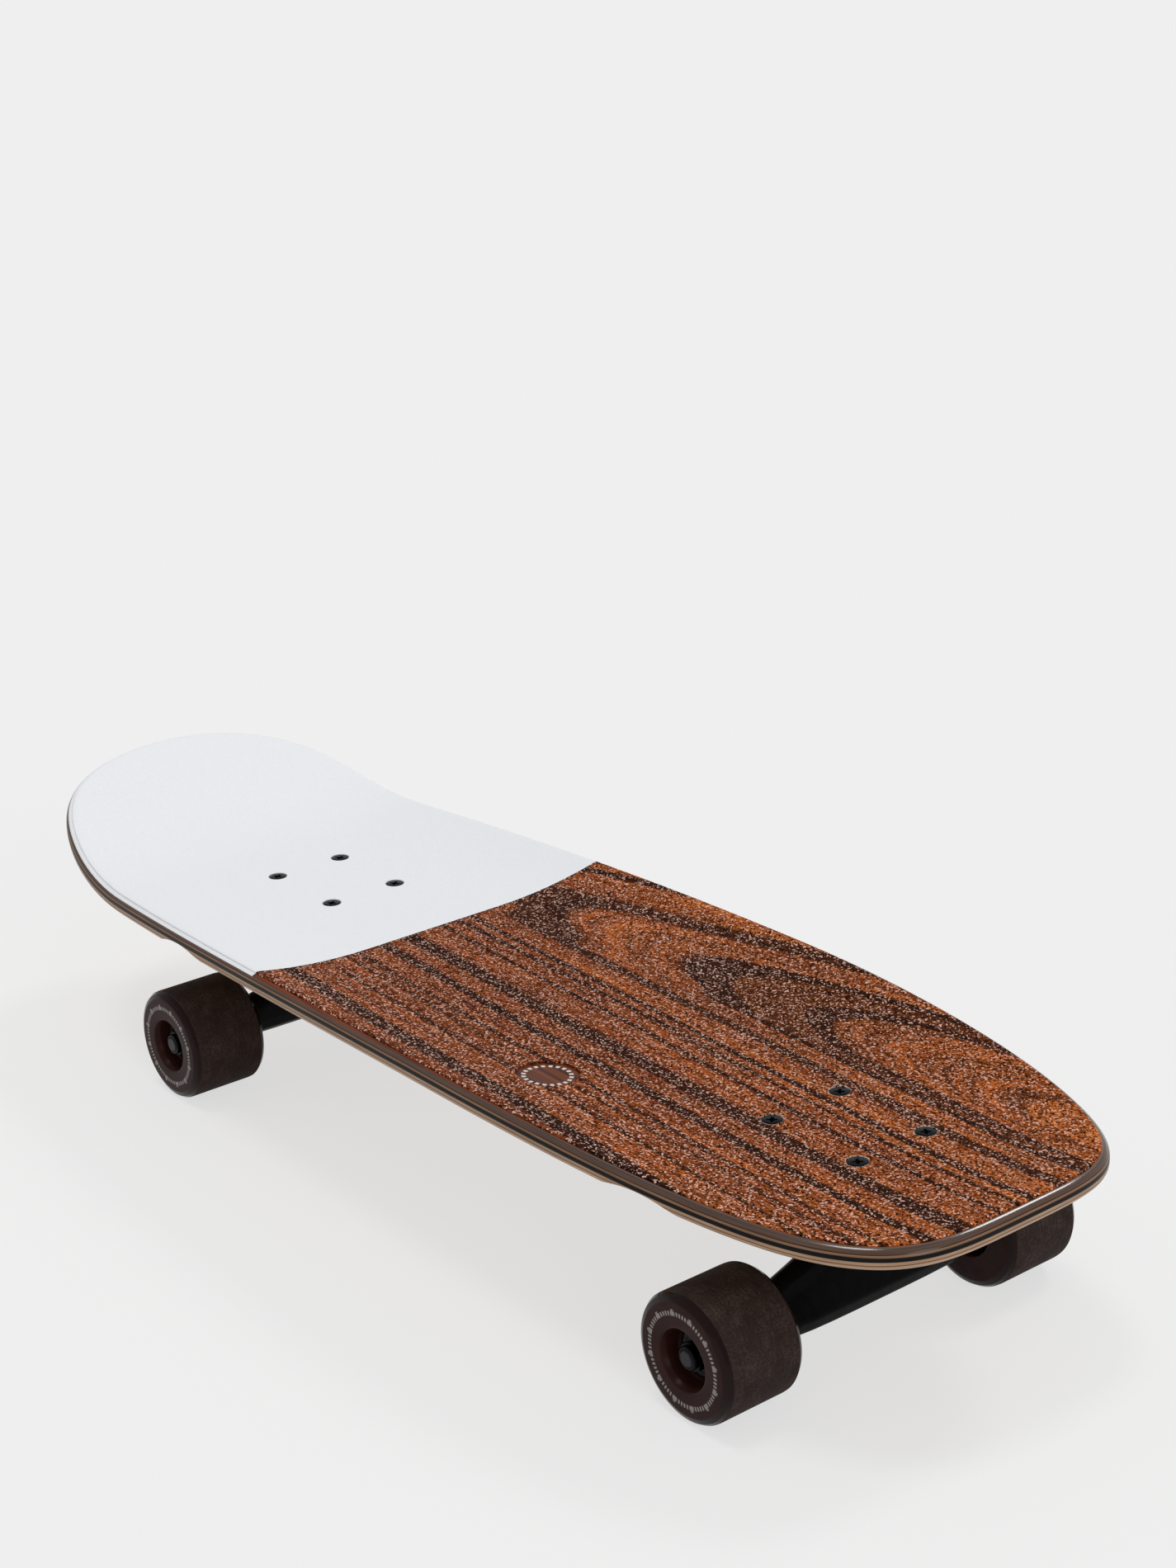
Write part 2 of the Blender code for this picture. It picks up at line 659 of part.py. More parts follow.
def riser_mesh():
    plate = rounded_plate("riser pad", PLATE_LENGTH, PLATE_WIDTH, PLATE_CORNER, 0, RISER_THICKNESS)
    below = -CUT_OVERSHOOT
    above = RISER_THICKNESS + CUT_OVERSHOOT
    opening = rounded_plate(
        "opening", RISER_OPENING_LENGTH, RISER_OPENING_WIDTH, RISER_OPENING_CORNER, below, above
    )
    hole = BOLT_RADIUS + HOLE_CLEARANCE
    drill = turned_pin("drill", ((hole, below), (hole, above)), BOLT_FACETS)
    middle = Matrix.Translation((KINGPIN_ORIGIN.x, 0, 0))
    return combine(plate, [("DIFFERENCE", opening, middle)] + hole_cutters(drill, 0))


def baseplate_mesh():
    """The baseplate with its kingpin boss, pivot boss and rib, seen from its top plane down."""
    plate = rounded_plate(
        "baseplate", PLATE_LENGTH, PLATE_WIDTH, PLATE_CORNER, -PLATE_THICKNESS, 0
    )
    root = Vector((0, 0, -BOSS_ROOT_DEPTH))
    down = Vector((0, 0, -1))
    kingpin_boss = skin(
        "kingpin boss",
        [
            tilted_circle(
                Vector((KINGPIN_ORIGIN.x, 0, 0)) + root,
                down,
                KINGPIN_BOSS_RADIUS + BOSS_ROOT_SPREAD,
                SHAFT_FACETS,
            ),
            tilted_circle(
                KINGPIN_ORIGIN + KINGPIN_DIRECTION * BOSS_SEAT,
                KINGPIN_DIRECTION,
                KINGPIN_BOSS_RADIUS,
                SHAFT_FACETS,
            ),
        ],
    )
    mouth = PIVOT_TIP - STEER_DIRECTION * PIVOT_CUP_DEPTH
    pivot_boss = skin(
        "pivot boss",
        [
            tilted_circle(
                Vector((PIVOT_TIP.x, 0, 0)) + root,
                down,
                PIVOT_BOSS_RADIUS + BOSS_ROOT_SPREAD / 2,
                SHAFT_FACETS,
            ),
            tilted_circle(mouth, -STEER_DIRECTION, PIVOT_BOSS_RADIUS, SHAFT_FACETS),
        ],
    )
    rib_length = PIVOT_TIP.x - KINGPIN_ORIGIN.x
    rib_bottom = -PLATE_THICKNESS - RIB_DEPTH
    rib = rounded_plate("rib", rib_length, RIB_THICKNESS, RIB_CORNER, rib_bottom, root.z)
    rib_place = Matrix.Translation(((PIVOT_TIP.x + KINGPIN_ORIGIN.x) / 2, 0, 0))

    shank_hole = KINGPIN_RADIUS + SEAT_GAP
    head_hole = KINGPIN_HEAD_FLATS / math.sqrt(3) + SEAT_GAP
    shank_end = BOSS_SEAT + CUT_OVERSHOOT
    shank_cut = turned_pin("kingpin hole", ((shank_hole, 0), (shank_hole, shank_end)), BOLT_FACETS)
    head_seat = KINGPIN_HEAD_SEAT + SEAT_GAP
    head_cut = turned_pin(
        "head recess", ((head_hole, -CUT_OVERSHOOT), (head_hole, head_seat)), SHAFT_FACETS
    )
    cup_hole = PIVOT_NOSE_FLARE + 2 * SEAT_GAP + PIVOT_CUP_WALL
    cup_floor = PIVOT_CUP_WALL + 2 * SEAT_GAP
    cup_end = PIVOT_CUP_DEPTH + CUT_OVERSHOOT
    cup_cut = turned_pin("cup recess", ((cup_hole, -cup_floor), (cup_hole, cup_end)), SHAFT_FACETS)
    kingpin_line = along(KINGPIN_DIRECTION, KINGPIN_ORIGIN)
    drill_radius = BOLT_RADIUS + HOLE_CLEARANCE
    drill_end = -PLATE_THICKNESS - CUT_OVERSHOOT
    drill = turned_pin(
        "drill", ((drill_radius, drill_end), (drill_radius, CUT_OVERSHOOT)), BOLT_FACETS
    )
    return combine(
        plate,
        [
            ("UNION", kingpin_boss, None),
            ("UNION", pivot_boss, None),
            ("UNION", rib, rib_place),
            ("DIFFERENCE", shank_cut, kingpin_line),
            ("DIFFERENCE", head_cut, kingpin_line),
            ("DIFFERENCE", cup_cut, along(-STEER_DIRECTION, PIVOT_TIP)),
        ]
        + hole_cutters(drill, 0),
    )


def nose_profile(extra):
    """(radius, distance back from the tip) of the pivot nose, or of its socket with extra room."""
    profile = []
    for angle in map(math.radians, (30, 60, 90)):
        distance = PIVOT_NOSE_RADIUS * (1 - math.cos(angle)) - extra * math.cos(angle)
        profile.append((PIVOT_NOSE_RADIUS * math.sin(angle) + extra, distance))
    profile.append((PIVOT_NOSE_FLARE + extra, PIVOT_CUP_DEPTH))
    return profile


def pivot_cup_mesh():
    """The cup that lines the pivot boss, open towards the hanger; local +Z runs to its mouth."""
    outer = PIVOT_NOSE_FLARE + SEAT_GAP + PIVOT_CUP_WALL
    socket = nose_profile(SEAT_GAP)
    floor = -PIVOT_CUP_WALL - SEAT_GAP
    outside = [(outer, floor), (outer, PIVOT_CUP_DEPTH)]
    loops = [circle(radius, height, SHAFT_FACETS) for radius, height in outside]
    loops += [circle(radius, height, SHAFT_FACETS) for radius, height in reversed(socket)]
    return skin("pivot cup", loops)


def shoulder_section(y, height, top_radius, lean, belly_radius, shift):
    """One upright section of the hanger: a rounded top over a rounded belly round the axle."""
    top = AXLE_CENTRE + Vector((-lean, y, height))
    belly = AXLE_CENTRE + Vector((shift, y, 0))
    loop = []
    for centre, radius, start in ((top, top_radius, 0), (belly, belly_radius, math.pi)):
        for index in range(SHOULDER_STEPS + 1):
            angle = start + math.pi * index / SHOULDER_STEPS
            loop.append(centre + Vector((math.cos(angle), 0, math.sin(angle))) * radius)
    return loop


def hanger_mesh():
    """The hanger: shoulders along the axle, a yoke with the kingpin ring, and the pivot nose."""
    end = (HANGER_WIDTH / 2, 0.0, HANGER_END_RADIUS, 0.0, HANGER_END_RADIUS, 0.0)
    half = list(SHOULDER) + [end]
    stations = [(-station[0],) + station[1:] for station in reversed(half[1:])] + half
    shoulders = skin("hanger", [shoulder_section(*station) for station in stations])

    ring = turned_pin(
        "ring", ((RING_RADIUS, -RING_THICKNESS / 2), (RING_RADIUS, RING_THICKNESS / 2)), BEARING_FACETS
    )
    ring_place = along(KINGPIN_DIRECTION, RING_CENTRE)
    ring_out = Vector((math.cos(KINGPIN_TILT), 0, -math.sin(KINGPIN_TILT)))
    yoke_length = (AXLE_CENTRE.x - RING_CENTRE.x) / ring_out.x
    yoke = rounded_plate(
        "yoke", yoke_length, YOKE_WIDTH, YOKE_CORNER, -YOKE_THICKNESS / 2, YOKE_THICKNESS / 2
    )
    yoke_turn = Matrix.Rotation(KINGPIN_TILT, 4, "Y")
    yoke_place = Matrix.Translation(RING_CENTRE + ring_out * yoke_length / 2) @ yoke_turn

    back = -STEER_DIRECTION
    neck_loops = [
        tilted_circle(PIVOT_TIP + back * distance, back, radius, SHAFT_FACETS)
        for radius, distance in nose_profile(0)
    ]
    _, root_height, _, root_lean, _, _ = SHOULDER[0]
    root = AXLE_CENTRE + Vector((-root_lean, 0, root_height))
    neck = PIVOT_TIP + back * (PIVOT_CUP_DEPTH + NECK_LENGTH)
    slant = (root - neck).normalized()
    waist = neck.lerp(root, NECK_WAIST_SHARE)
    turned = (slant + back).normalized()
    facets = SHAFT_FACETS
    neck_loops += [
        tilted_circle(neck, back, NECK_RADIUS, facets),
        tilted_circle(waist, turned, NECK_ROOT_RADIUS, facets, NECK_WAIST_HALF_WIDTH),
        tilted_circle(root, slant, NECK_ROOT_RADIUS, facets, NECK_ROOT_HALF_WIDTH),
    ]
    nose = skin("pivot nose", neck_loops)

    bore = AXLE_RADIUS + SEAT_GAP
    axle_cut = turned_pin("axle bore", ((bore, -HANGER_WIDTH), (bore, HANGER_WIDTH)), SHAFT_FACETS)
    axle_line = along(Vector((0, 1, 0)), AXLE_CENTRE)
    kingpin_cut = turned_pin(
        "kingpin hole",
        ((RING_HOLE_RADIUS, -RING_THICKNESS), (RING_HOLE_RADIUS, RING_THICKNESS)),
        BEARING_FACETS,
    )
    recess_radius = BUSHING_RADIUS + RING_RECESS_GAP
    board_recess = turned_pin(
        "board recess",
        ((recess_radius, -BOARD_BUSHING_HEIGHT), (recess_radius, -RING_FLOOR)),
        BEARING_FACETS,
    )
    road_recess = turned_pin(
        "road recess",
        ((recess_radius, RING_FLOOR), (recess_radius, ROAD_BUSHING_HEIGHT + RING_FLOOR)),
        BEARING_FACETS,
    )
    return combine(
        shoulders,
        [
            ("UNION", yoke, yoke_place),
            ("UNION", ring, ring_place),
            ("UNION", nose, None),
            ("DIFFERENCE", kingpin_cut, ring_place),
            ("DIFFERENCE", board_recess, ring_place),
            ("DIFFERENCE", road_recess, ring_place),
            ("DIFFERENCE", axle_cut, axle_line),
        ],
    )


def kingpin_mesh():
    """The kingpin, head first along local +Z from the plane of the baseplate's top."""
    head_top = KINGPIN_HEAD_SEAT - KINGPIN_HEAD_HEIGHT
    facets = BOLT_FACETS
    loops = [
        hexagon(KINGPIN_HEAD_FLATS, head_top, facets),
        hexagon(KINGPIN_HEAD_FLATS, KINGPIN_HEAD_SEAT, facets),
        circle(KINGPIN_RADIUS, KINGPIN_HEAD_SEAT, facets),
        circle(KINGPIN_RADIUS, KINGPIN_END, facets),
    ]
    return skin("kingpin", loops)


def cup_washer_mesh():
    """A washer whose rim turns over the bushing, on local +Z."""
    hole = KINGPIN_RADIUS + SEAT_GAP
    outer = CUP_WASHER_RADIUS
    thick = CUP_WASHER_THICKNESS
    lip = CUP_WASHER_LIP
    profile = ((hole, 0), (outer - lip, 0), (outer, lip), (outer, thick), (hole, thick))
    return turned_ring("cup washer", profile, BEARING_FACETS)


def bushing_mesh(name, height, end_radius):
    """A urethane bushing; its widest end is at local zero."""
    hole = KINGPIN_RADIUS + SEAT_GAP
    wide = BUSHING_RADIUS
    cut = BUSHING_CHAMFER
    profile = (
        (hole, 0),
        (wide - cut, 0),
        (wide, cut),
        (end_radius, height - cut),
        (end_radius - cut, height),
        (hole, height),
    )
    return turned_ring(name, profile, BEARING_FACETS)


def axle_mesh():
    end = AXLE_LENGTH / 2
    slim = AXLE_RADIUS - AXLE_CHAMFER
    profile = (
        (slim, -end),
        (AXLE_RADIUS, AXLE_CHAMFER - end),
        (AXLE_RADIUS, end - AXLE_CHAMFER),
        (slim, end),
    )
    return turned_pin("axle", profile, SHAFT_FACETS)


def stack_mesh():
    """Washers, inner rings and spacer, clamped as one on the axle, along local +Z outwards."""
    hole = AXLE_RADIUS + SEAT_GAP
    first = SPEED_WASHER_THICKNESS + BEARING_WIDTH
    second = first + SPACER_LENGTH
    profile = (
        (hole, 0),
        (INNER_RING_RADIUS, 0),
        (INNER_RING_RADIUS, first),
        (SPACER_RADIUS, first),
        (SPACER_RADIUS, second),
        (INNER_RING_RADIUS, second),
        (INNER_RING_RADIUS, STACK_LENGTH),
        (hole, STACK_LENGTH),
    )
    return turned_ring("bearing stack", profile, SHAFT_FACETS)


def bearing_mesh():
    """An outer ring with both shields, centred on local zero."""
    edge = BEARING_WIDTH / 2
    shield = edge - SHIELD_RECESS
    profile = (
        (BEARING_RADIUS, -edge),
        (BEARING_RADIUS, edge),
        (SHIELD_INNER_RADIUS, shield),
        (SHIELD_INNER_RADIUS, -shield),
    )
    return turned_ring("bearing", profile, BEARING_FACETS)


def wheel_mesh():
    """A urethane wheel. Local +Z points outboard, and zero is the middle of the hub."""
    flat = WHEEL_RADIUS / math.cos(math.pi / WHEEL_FACETS)
    edge = TREAD_WIDTH / 2
    outer_half = (
        (flat, TREAD_FLAT_WIDTH / 2),
        (flat - TREAD_EDGE_DROP, edge),
        (LIP_RADIUS, edge + LIP_OUT),
        (FACE_RADIUS, edge + FACE_OUT),
        (BELL_RADIUS, edge + BELL_OUT),
        (SEAT_RADIUS, SEAT_OUTER),
        (SEAT_RADIUS, SEAT_INNER),
        (HUB_SHOULDER_RADIUS, SEAT_INNER),
    )
    inner_half = [(radius, -height) for radius, height in reversed(outer_half)]
    return turned_ring("wheel", list(outer_half) + inner_half, WHEEL_FACETS, half_step=True)


def build_wheel_set(end_name, side_name, axle_frame, side, meshes, materials):
    """One wheel with its bearings on one end of the axle; axle_frame is the hanger's frame."""
    name = f"{end_name}_{side_name}"
    outboard = Vector((0, side, 0))
    hub = AXLE_CENTRE - RING_CENTRE + outboard * HUB_CENTRE
    spin = add_empty(f"{name}_wheel_axis", along(outboard, hub), axle_frame)
    add_object(f"{name}_wheel", meshes["wheel"], materials["urethane"], spin)
    for bearing_name, offset in (("outer", BEARING_OFFSET), ("inner", -BEARING_OFFSET)):
        place = Matrix.Translation((0, 0, offset))
        add_object(
            f"{name}_{bearing_name}_bearing", meshes["bearing"], materials["shield"], spin, place
        )
    stack = along(outboard, AXLE_CENTRE - RING_CENTRE + outboard * STACK_START)
    add_object(f"{name}_spacer_stack", meshes["stack"], materials["steel"], axle_frame, stack)
    nut = along(outboard, AXLE_CENTRE - RING_CENTRE + outboard * NUT_START)
    add_object(f"{name}_axle_nut", meshes["axle nut"], materials["black steel"], axle_frame, nut)


def build_truck(end_name, centre_x, turn, meshes, materials):
    """One whole truck under an empty on top of its baseplate. turn is 0 or half a turn."""
    mount = add_empty(
        f"{end_name}_truck_mount",
        Matrix.Translation((centre_x, 0, PLATE_TOP_Z)) @ Matrix.Rotation(turn, 4, "Z"),
    )
    up = Matrix.Translation((0, 0, SEAT_GAP))
    add_object(f"{end_name}_riser_pad", meshes["riser"], materials["black rubber"], mount, up)
    add_object(f"{end_name}_baseplate", meshes["baseplate"], materials["cast"], mount)
    add_object(
        f"{end_name}_pivot_cup",
        meshes["pivot cup"],
        materials["black rubber"],
        mount,
        along(-STEER_DIRECTION, PIVOT_TIP),
    )

    def on_kingpin(depth):
        return along(KINGPIN_DIRECTION, KINGPIN_ORIGIN + KINGPIN_DIRECTION * depth)

    flip = Matrix.Rotation(math.pi, 4, "X")
    board_washer = on_kingpin(BOARD_WASHER_START)
    road_washer = on_kingpin(ROAD_WASHER_START + CUP_WASHER_THICKNESS) @ flip
    steel = materials["black steel"]
    add_object(f"{end_name}_kingpin", meshes["kingpin"], steel, mount, on_kingpin(0))
    add_object(f"{end_name}_board_washer", meshes["cup washer"], steel, mount, board_washer)
    add_object(f"{end_name}_road_washer", meshes["cup washer"], steel, mount, road_washer)
    add_object(
        f"{end_name}_board_bushing",
        meshes["board bushing"],
        materials["bushing"],
        mount,
        on_kingpin(BOARD_BUSHING_START),
    )
    add_object(
        f"{end_name}_road_bushing",
        meshes["road bushing"],
        materials["bushing"],
        mount,
        on_kingpin(ROAD_BUSHING_START),
    )
    add_object(
        f"{end_name}_kingpin_nut", meshes["kingpin nut"], steel, mount, on_kingpin(KINGPIN_NUT_START)
    )

    steer = add_empty(f"{end_name}_steer_axis", Matrix.Translation(RING_CENTRE), mount)
    back_to_mount = Matrix.Translation(-RING_CENTRE)
    add_object(f"{end_name}_hanger", meshes["hanger"], materials["cast"], steer, back_to_mount)
    axle_line = along(Vector((0, 1, 0)), AXLE_CENTRE - RING_CENTRE)
    add_object(f"{end_name}_axle", meshes["axle"], materials["steel"], steer, axle_line)

    for along_sign, side, x, y in bolt_places():
        place = "outboard" if along_sign > 0 else "inboard"
        name = f"{end_name}_{place}_{side_of(side, turn)}"
        bolt_top = GRIP_TOP_Z - BOLT_HEAD_BELOW_GRIP - PLATE_TOP_Z
        bolt = Matrix.Translation((x, y, bolt_top))
        nut = Matrix.Translation((x, y, -PLATE_THICKNESS - SEAT_GAP - MOUNT_NUT_HEIGHT))
        add_object(f"{name}_mounting_bolt", meshes["bolt"], steel, mount, bolt)
        add_object(f"{name}_mounting_nut", meshes["mounting nut"], steel, mount, nut)
    for side in (1, -1):
        build_wheel_set(end_name, side_of(side, turn), steer, side, meshes, materials)


def side_of(side, turn):
    """Which side of the board a side of the truck is on, once the truck is turned."""
    return "left" if side * math.cos(turn) > 0 else "right"


def truck_meshes():
    return {
        "riser": riser_mesh(),
        "baseplate": baseplate_mesh(),
        "pivot cup": pivot_cup_mesh(),
        "kingpin": kingpin_mesh(),
        "cup washer": cup_washer_mesh(),
        "board bushing": bushing_mesh("board bushing", BOARD_BUSHING_HEIGHT, BUSHING_RADIUS),
        "road bushing": bushing_mesh("road bushing", ROAD_BUSHING_HEIGHT, ROAD_BUSHING_END_RADIUS),
        "kingpin nut": hex_nut(
            "kingpin nut", KINGPIN_NUT_FLATS, KINGPIN_NUT_HEIGHT, KINGPIN_RADIUS + SEAT_GAP
        ),
        "hanger": hanger_mesh(),
        "axle": axle_mesh(),
        "axle nut": hex_nut("axle nut", AXLE_NUT_FLATS, AXLE_NUT_HEIGHT, AXLE_RADIUS + SEAT_GAP),
        "stack": stack_mesh(),
        "bearing": bearing_mesh(),
        "wheel": wheel_mesh(),
        "bolt": mounting_bolt_mesh(),
        "mounting nut": hex_nut(
            "mounting nut", MOUNT_NUT_FLATS, MOUNT_NUT_HEIGHT, BOLT_RADIUS + HOLE_CLEARANCE
        ),
    }


def make_materials():
    return {
        "maple": make_material("maple laminate", 196, 160, 122, 0.45),
        "grip": make_material("clear grip over rosewood print", 140, 84, 58, 0.75),
        "cast": make_material("black coated casting", 28, 28, 29, 0.42, 0.3),
        "black steel": make_material("blackened steel", 24, 24, 25, 0.35, 0.8),
        "steel": make_material("bright steel", 170, 170, 172, 0.3, 1.0),
        "shield": make_material("black bearing shield", 30, 30, 32, 0.45, 0.2),
        "black rubber": make_material("black polyurethane pad", 26, 26, 26, 0.6),
        "bushing": make_material("black bushing urethane", 30, 28, 28, 0.4),
        "urethane": make_material("maroon wheel urethane", 62, 40, 38, 0.35),
    }


def main():
    clear_scene()
    materials = make_materials()
    build_deck(materials)
    build_grip(materials)
    meshes = truck_meshes()
    build_truck("front", FRONT_TRUCK_X, 0.0, meshes, materials)
    build_truck("rear", REAR_TRUCK_X, math.pi, meshes, materials)


main()
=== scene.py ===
"""Looks for the cruiser skateboard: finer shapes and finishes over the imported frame.

Units are metres in the part's own frame: +X towards the nose, +Y left, +Z up, with the
origin on the ground under the middle of the board.
"""

import json
import math

import bmesh
import bpy
from mathutils import Matrix, Vector


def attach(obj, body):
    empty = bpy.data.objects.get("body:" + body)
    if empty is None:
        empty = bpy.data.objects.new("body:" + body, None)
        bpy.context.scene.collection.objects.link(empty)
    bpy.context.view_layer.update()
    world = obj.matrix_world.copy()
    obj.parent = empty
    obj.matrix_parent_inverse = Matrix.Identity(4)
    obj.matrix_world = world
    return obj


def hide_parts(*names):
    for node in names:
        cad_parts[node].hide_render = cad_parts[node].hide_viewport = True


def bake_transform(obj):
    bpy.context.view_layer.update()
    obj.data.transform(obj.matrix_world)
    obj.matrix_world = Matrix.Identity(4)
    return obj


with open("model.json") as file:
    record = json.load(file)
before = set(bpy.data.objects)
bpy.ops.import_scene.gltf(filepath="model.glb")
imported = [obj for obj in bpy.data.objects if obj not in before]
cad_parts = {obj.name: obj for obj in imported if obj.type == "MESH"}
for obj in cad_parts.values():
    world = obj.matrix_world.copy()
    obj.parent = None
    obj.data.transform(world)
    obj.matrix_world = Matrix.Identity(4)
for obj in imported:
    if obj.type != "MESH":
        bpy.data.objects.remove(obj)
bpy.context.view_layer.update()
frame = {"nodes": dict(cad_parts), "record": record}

# Deck, the same form as the part's own deck
DECK_LENGTH = 0.7014
DECK_WIDTH = 0.231
WIDEST_FORWARD = 0.090
NOSE_POWER_ALONG = 2.1
NOSE_POWER_ACROSS = 4.0
TAIL_TAPER = 0.20
TAIL_TAPER_POWER = 2.4
TAIL_POWER_ALONG = 14.0
DECK_THICKNESS = 0.0104
TOP_EDGE_RADIUS = 0.0050
BOTTOM_EDGE_RADIUS = 0.0035
FLAT_HALF_WIDTH = 0.043
CONCAVE_RISE = 0.0104
CONCAVE_FORWARD = 0.079
CONCAVE_NOSE_REACH = 0.487
CONCAVE_TAIL_REACH = 0.598
KICK_START_X = -0.2171
KICK_RADIUS = 0.185
KICK_ANGLE = math.radians(20.3)
NOSE_LIFT = 0.0034
LIFT_START_X = 0.287
DECK_TOP_Z = 0.0990
DECK_BOTTOM_Z = DECK_TOP_Z - DECK_THICKNESS
NOSE_X = DECK_LENGTH / 2
TAIL_X = -DECK_LENGTH / 2
WELL_RADIUS = 0.070
WELL_DEPTH = 0.0045
WELL_REACH = 0.042
WELL_BEHIND_AXLE = 0.028
WELL_HALF_LENGTH = 0.084
BOLT_HOLE_RADIUS = 0.00275
COUNTERSINK_DEPTH = 0.00195
CUT_OVERSHOOT = 0.006

# Grip sheet. Its edge laps over the deck's rounded edge: the insets of its top rows, how much
# further it falls for each metre outwards, and (inset, depth) down its rim.
GRIP_TOP_Z = 0.1000
GRIP_THICKNESS = 0.0008
GRIP_MARGIN = 0.0052
GRIP_EDGE_INSETS = (0.0046, 0.0042, 0.0039)
GRIP_EDGE_FALL = 0.20
GRIP_RIM = ((0.0036, 0.0009), (0.0037, 0.00115))
GRIP_HOLE_RADIUS = 0.0052
WINDOW_RADIUS = 0.0150
WINDOW_PLACE = (0.1155, -0.0666)

# Trucks. Each one's own frame lies on its plate's top, in the middle of its four bolts.
SEAT_GAP = 0.0003
PLATE_TOP_Z = 0.0850
PLATE_THICKNESS = 0.0055
RISER_THICKNESS = DECK_BOTTOM_Z - PLATE_TOP_Z - 2 * SEAT_GAP
FLIP = Matrix.Rotation(math.pi, 4, "X")
TRUCKS = {
    "front": Matrix.Translation((0.245, 0, PLATE_TOP_Z)),
    "rear": Matrix.Translation((-0.160, 0, PLATE_TOP_Z)) @ Matrix.Rotation(math.pi, 4, "Z"),
}
BOLT_ALONG = 0.053975
BOLT_ACROSS = 0.041275
BOLT_BELOW_GRIP = 0.0002
CROSS_TURN_PER_METRE = 90
AXLE_CENTRE = Vector((0.0102, 0, -0.0550))
RING_CENTRE = Vector((-0.0150, 0, -0.0340))
PIVOT_CENTRE = Vector((0.0280, 0, -0.0110))
STEER_DIRECTION = (PIVOT_CENTRE - RING_CENTRE).normalized()
KINGPIN_TILT = math.radians(15)
KINGPIN_DIRECTION = Vector((-math.sin(KINGPIN_TILT), 0, -math.cos(KINGPIN_TILT)))

# Pieces on the kingpin: where each starts along it, from the plane of the plate's top
RING_DEPTH = -RING_CENTRE.z / math.cos(KINGPIN_TILT)
RING_HALF_HEIGHT = 0.0030
BOARD_BUSHING_HEIGHT = 0.0130
ROAD_BUSHING_HEIGHT = 0.0090
WASHER_HEIGHT = 0.0020
KINGPIN_ORIGIN = RING_CENTRE - KINGPIN_DIRECTION * RING_DEPTH
BOARD_BUSHING_DEPTH = RING_DEPTH - RING_HALF_HEIGHT - SEAT_GAP - BOARD_BUSHING_HEIGHT
BOARD_WASHER_DEPTH = BOARD_BUSHING_DEPTH - SEAT_GAP - WASHER_HEIGHT
ROAD_BUSHING_DEPTH = RING_DEPTH + RING_HALF_HEIGHT + SEAT_GAP
ROAD_WASHER_DEPTH = ROAD_BUSHING_DEPTH + ROAD_BUSHING_HEIGHT + SEAT_GAP
KINGPIN_NUT_DEPTH = ROAD_WASHER_DEPTH + WASHER_HEIGHT + SEAT_GAP

# Pieces on the axle: where each starts, from the middle of the truck
HUB_CENTRE = 0.08535
BEARING_OFFSET = 0.0085
STACK_LENGTH = 0.0256
STACK_START = HUB_CENTRE - STACK_LENGTH / 2
AXLE_NUT_START = STACK_START + STACK_LENGTH + SEAT_GAP

# Fineness. Points on the rim stand closer where it turns: RIM_TURN counts as much as RIM_STEP
# along it. EVEN_ACROSS and END_BLEND place the rows of points over the deck.
RIM_SEGMENTS = 150
RIM_STEP = 0.030
RIM_TURN = math.radians(9)
SEGMENTS_ACROSS = 26
EVEN_ACROSS = 0.55
END_BLEND = 0.22
DRUM_SEGMENTS = 180
ROUND_SEGMENTS = 96
MIDDLE_SEGMENTS = 64
SMALL_SEGMENTS = 48
BOLT_SEGMENTS = 32
LEAST_RADIUS = 1e-5
MERGE_DISTANCE = 1e-7
CAST_VOXEL = 0.00085
CAST_ROUNDS = 7

# Print on the top. Colours are sRGB, from 0 to 255 a channel.
PAINT_EDGE_X = -0.0665
PAINT_LINE_WIDTH = 0.0009
PAINT = (229, 231, 234)
MILLIMETRES = 1000.0

# Dark lines of the printed grain: middle, half width and darkness, along the grain's own
# measure. That is the distance across the board, in millimetres, in its plain right half.
GRAIN_LINES = (
    (-92.0, 5.2, 0.95),
    (-69.5, 1.6, 0.85),
    (-57.5, 1.5, 0.80),
    (-49.8, 1.6, 0.85),
    (-33.8, 2.9, 0.95),
    (-17.2, 4.5, 0.92),
    (3.6, 1.5, 0.95),
    (14.8, 1.5, 0.95),
    (22.0, 1.9, 0.95),
    (39.9, 3.4, 0.86),
    (41.8, 1.1, 0.95),
    (47.8, 0.9, 0.50),
    (53.9, 2.2, 0.95),
    (57.6, 4.8, 0.74),
    (61.5, 1.5, 0.95),
    (68.6, 0.8, 0.50),
    (74.0, 0.8, 0.55),
)

# Studio
FLOOR = (236, 236, 236)
BACKGROUND = (240, 240, 240)
FLOOR_RADIUS = 60.0
FLOOR_GLOW_SHARE = 0.75
WORLD_LEVEL = 0.53

# The photograph's viewpoint: heading, pitch and roll in degrees, and two lengths in its pixels
CAMERA_PLACE = (1.01080, -0.73600, 0.63790)
CAMERA_TURN = (142.00, 19.52, -2.18)
FOCAL_PIXELS = 3245.63
PHOTO_HEIGHT = 1900
SENSOR_WIDTH = 36

RECORD = frame["record"]
BODIES = RECORD["behaviour"]["bodies"]
BODY_OF = {node: body for body, nodes in BODIES.items() for node in nodes}


def linear(colour):
    """An sRGB colour, 0 to 255 a channel, as the linear colour that a shader takes."""
    channels = []
    for value in colour:
        share = value / 255
        channels.append(share / 12.92 if share <= 0.04045 else ((share + 0.055) / 1.055) ** 2.4)
    return (*channels, 1.0)


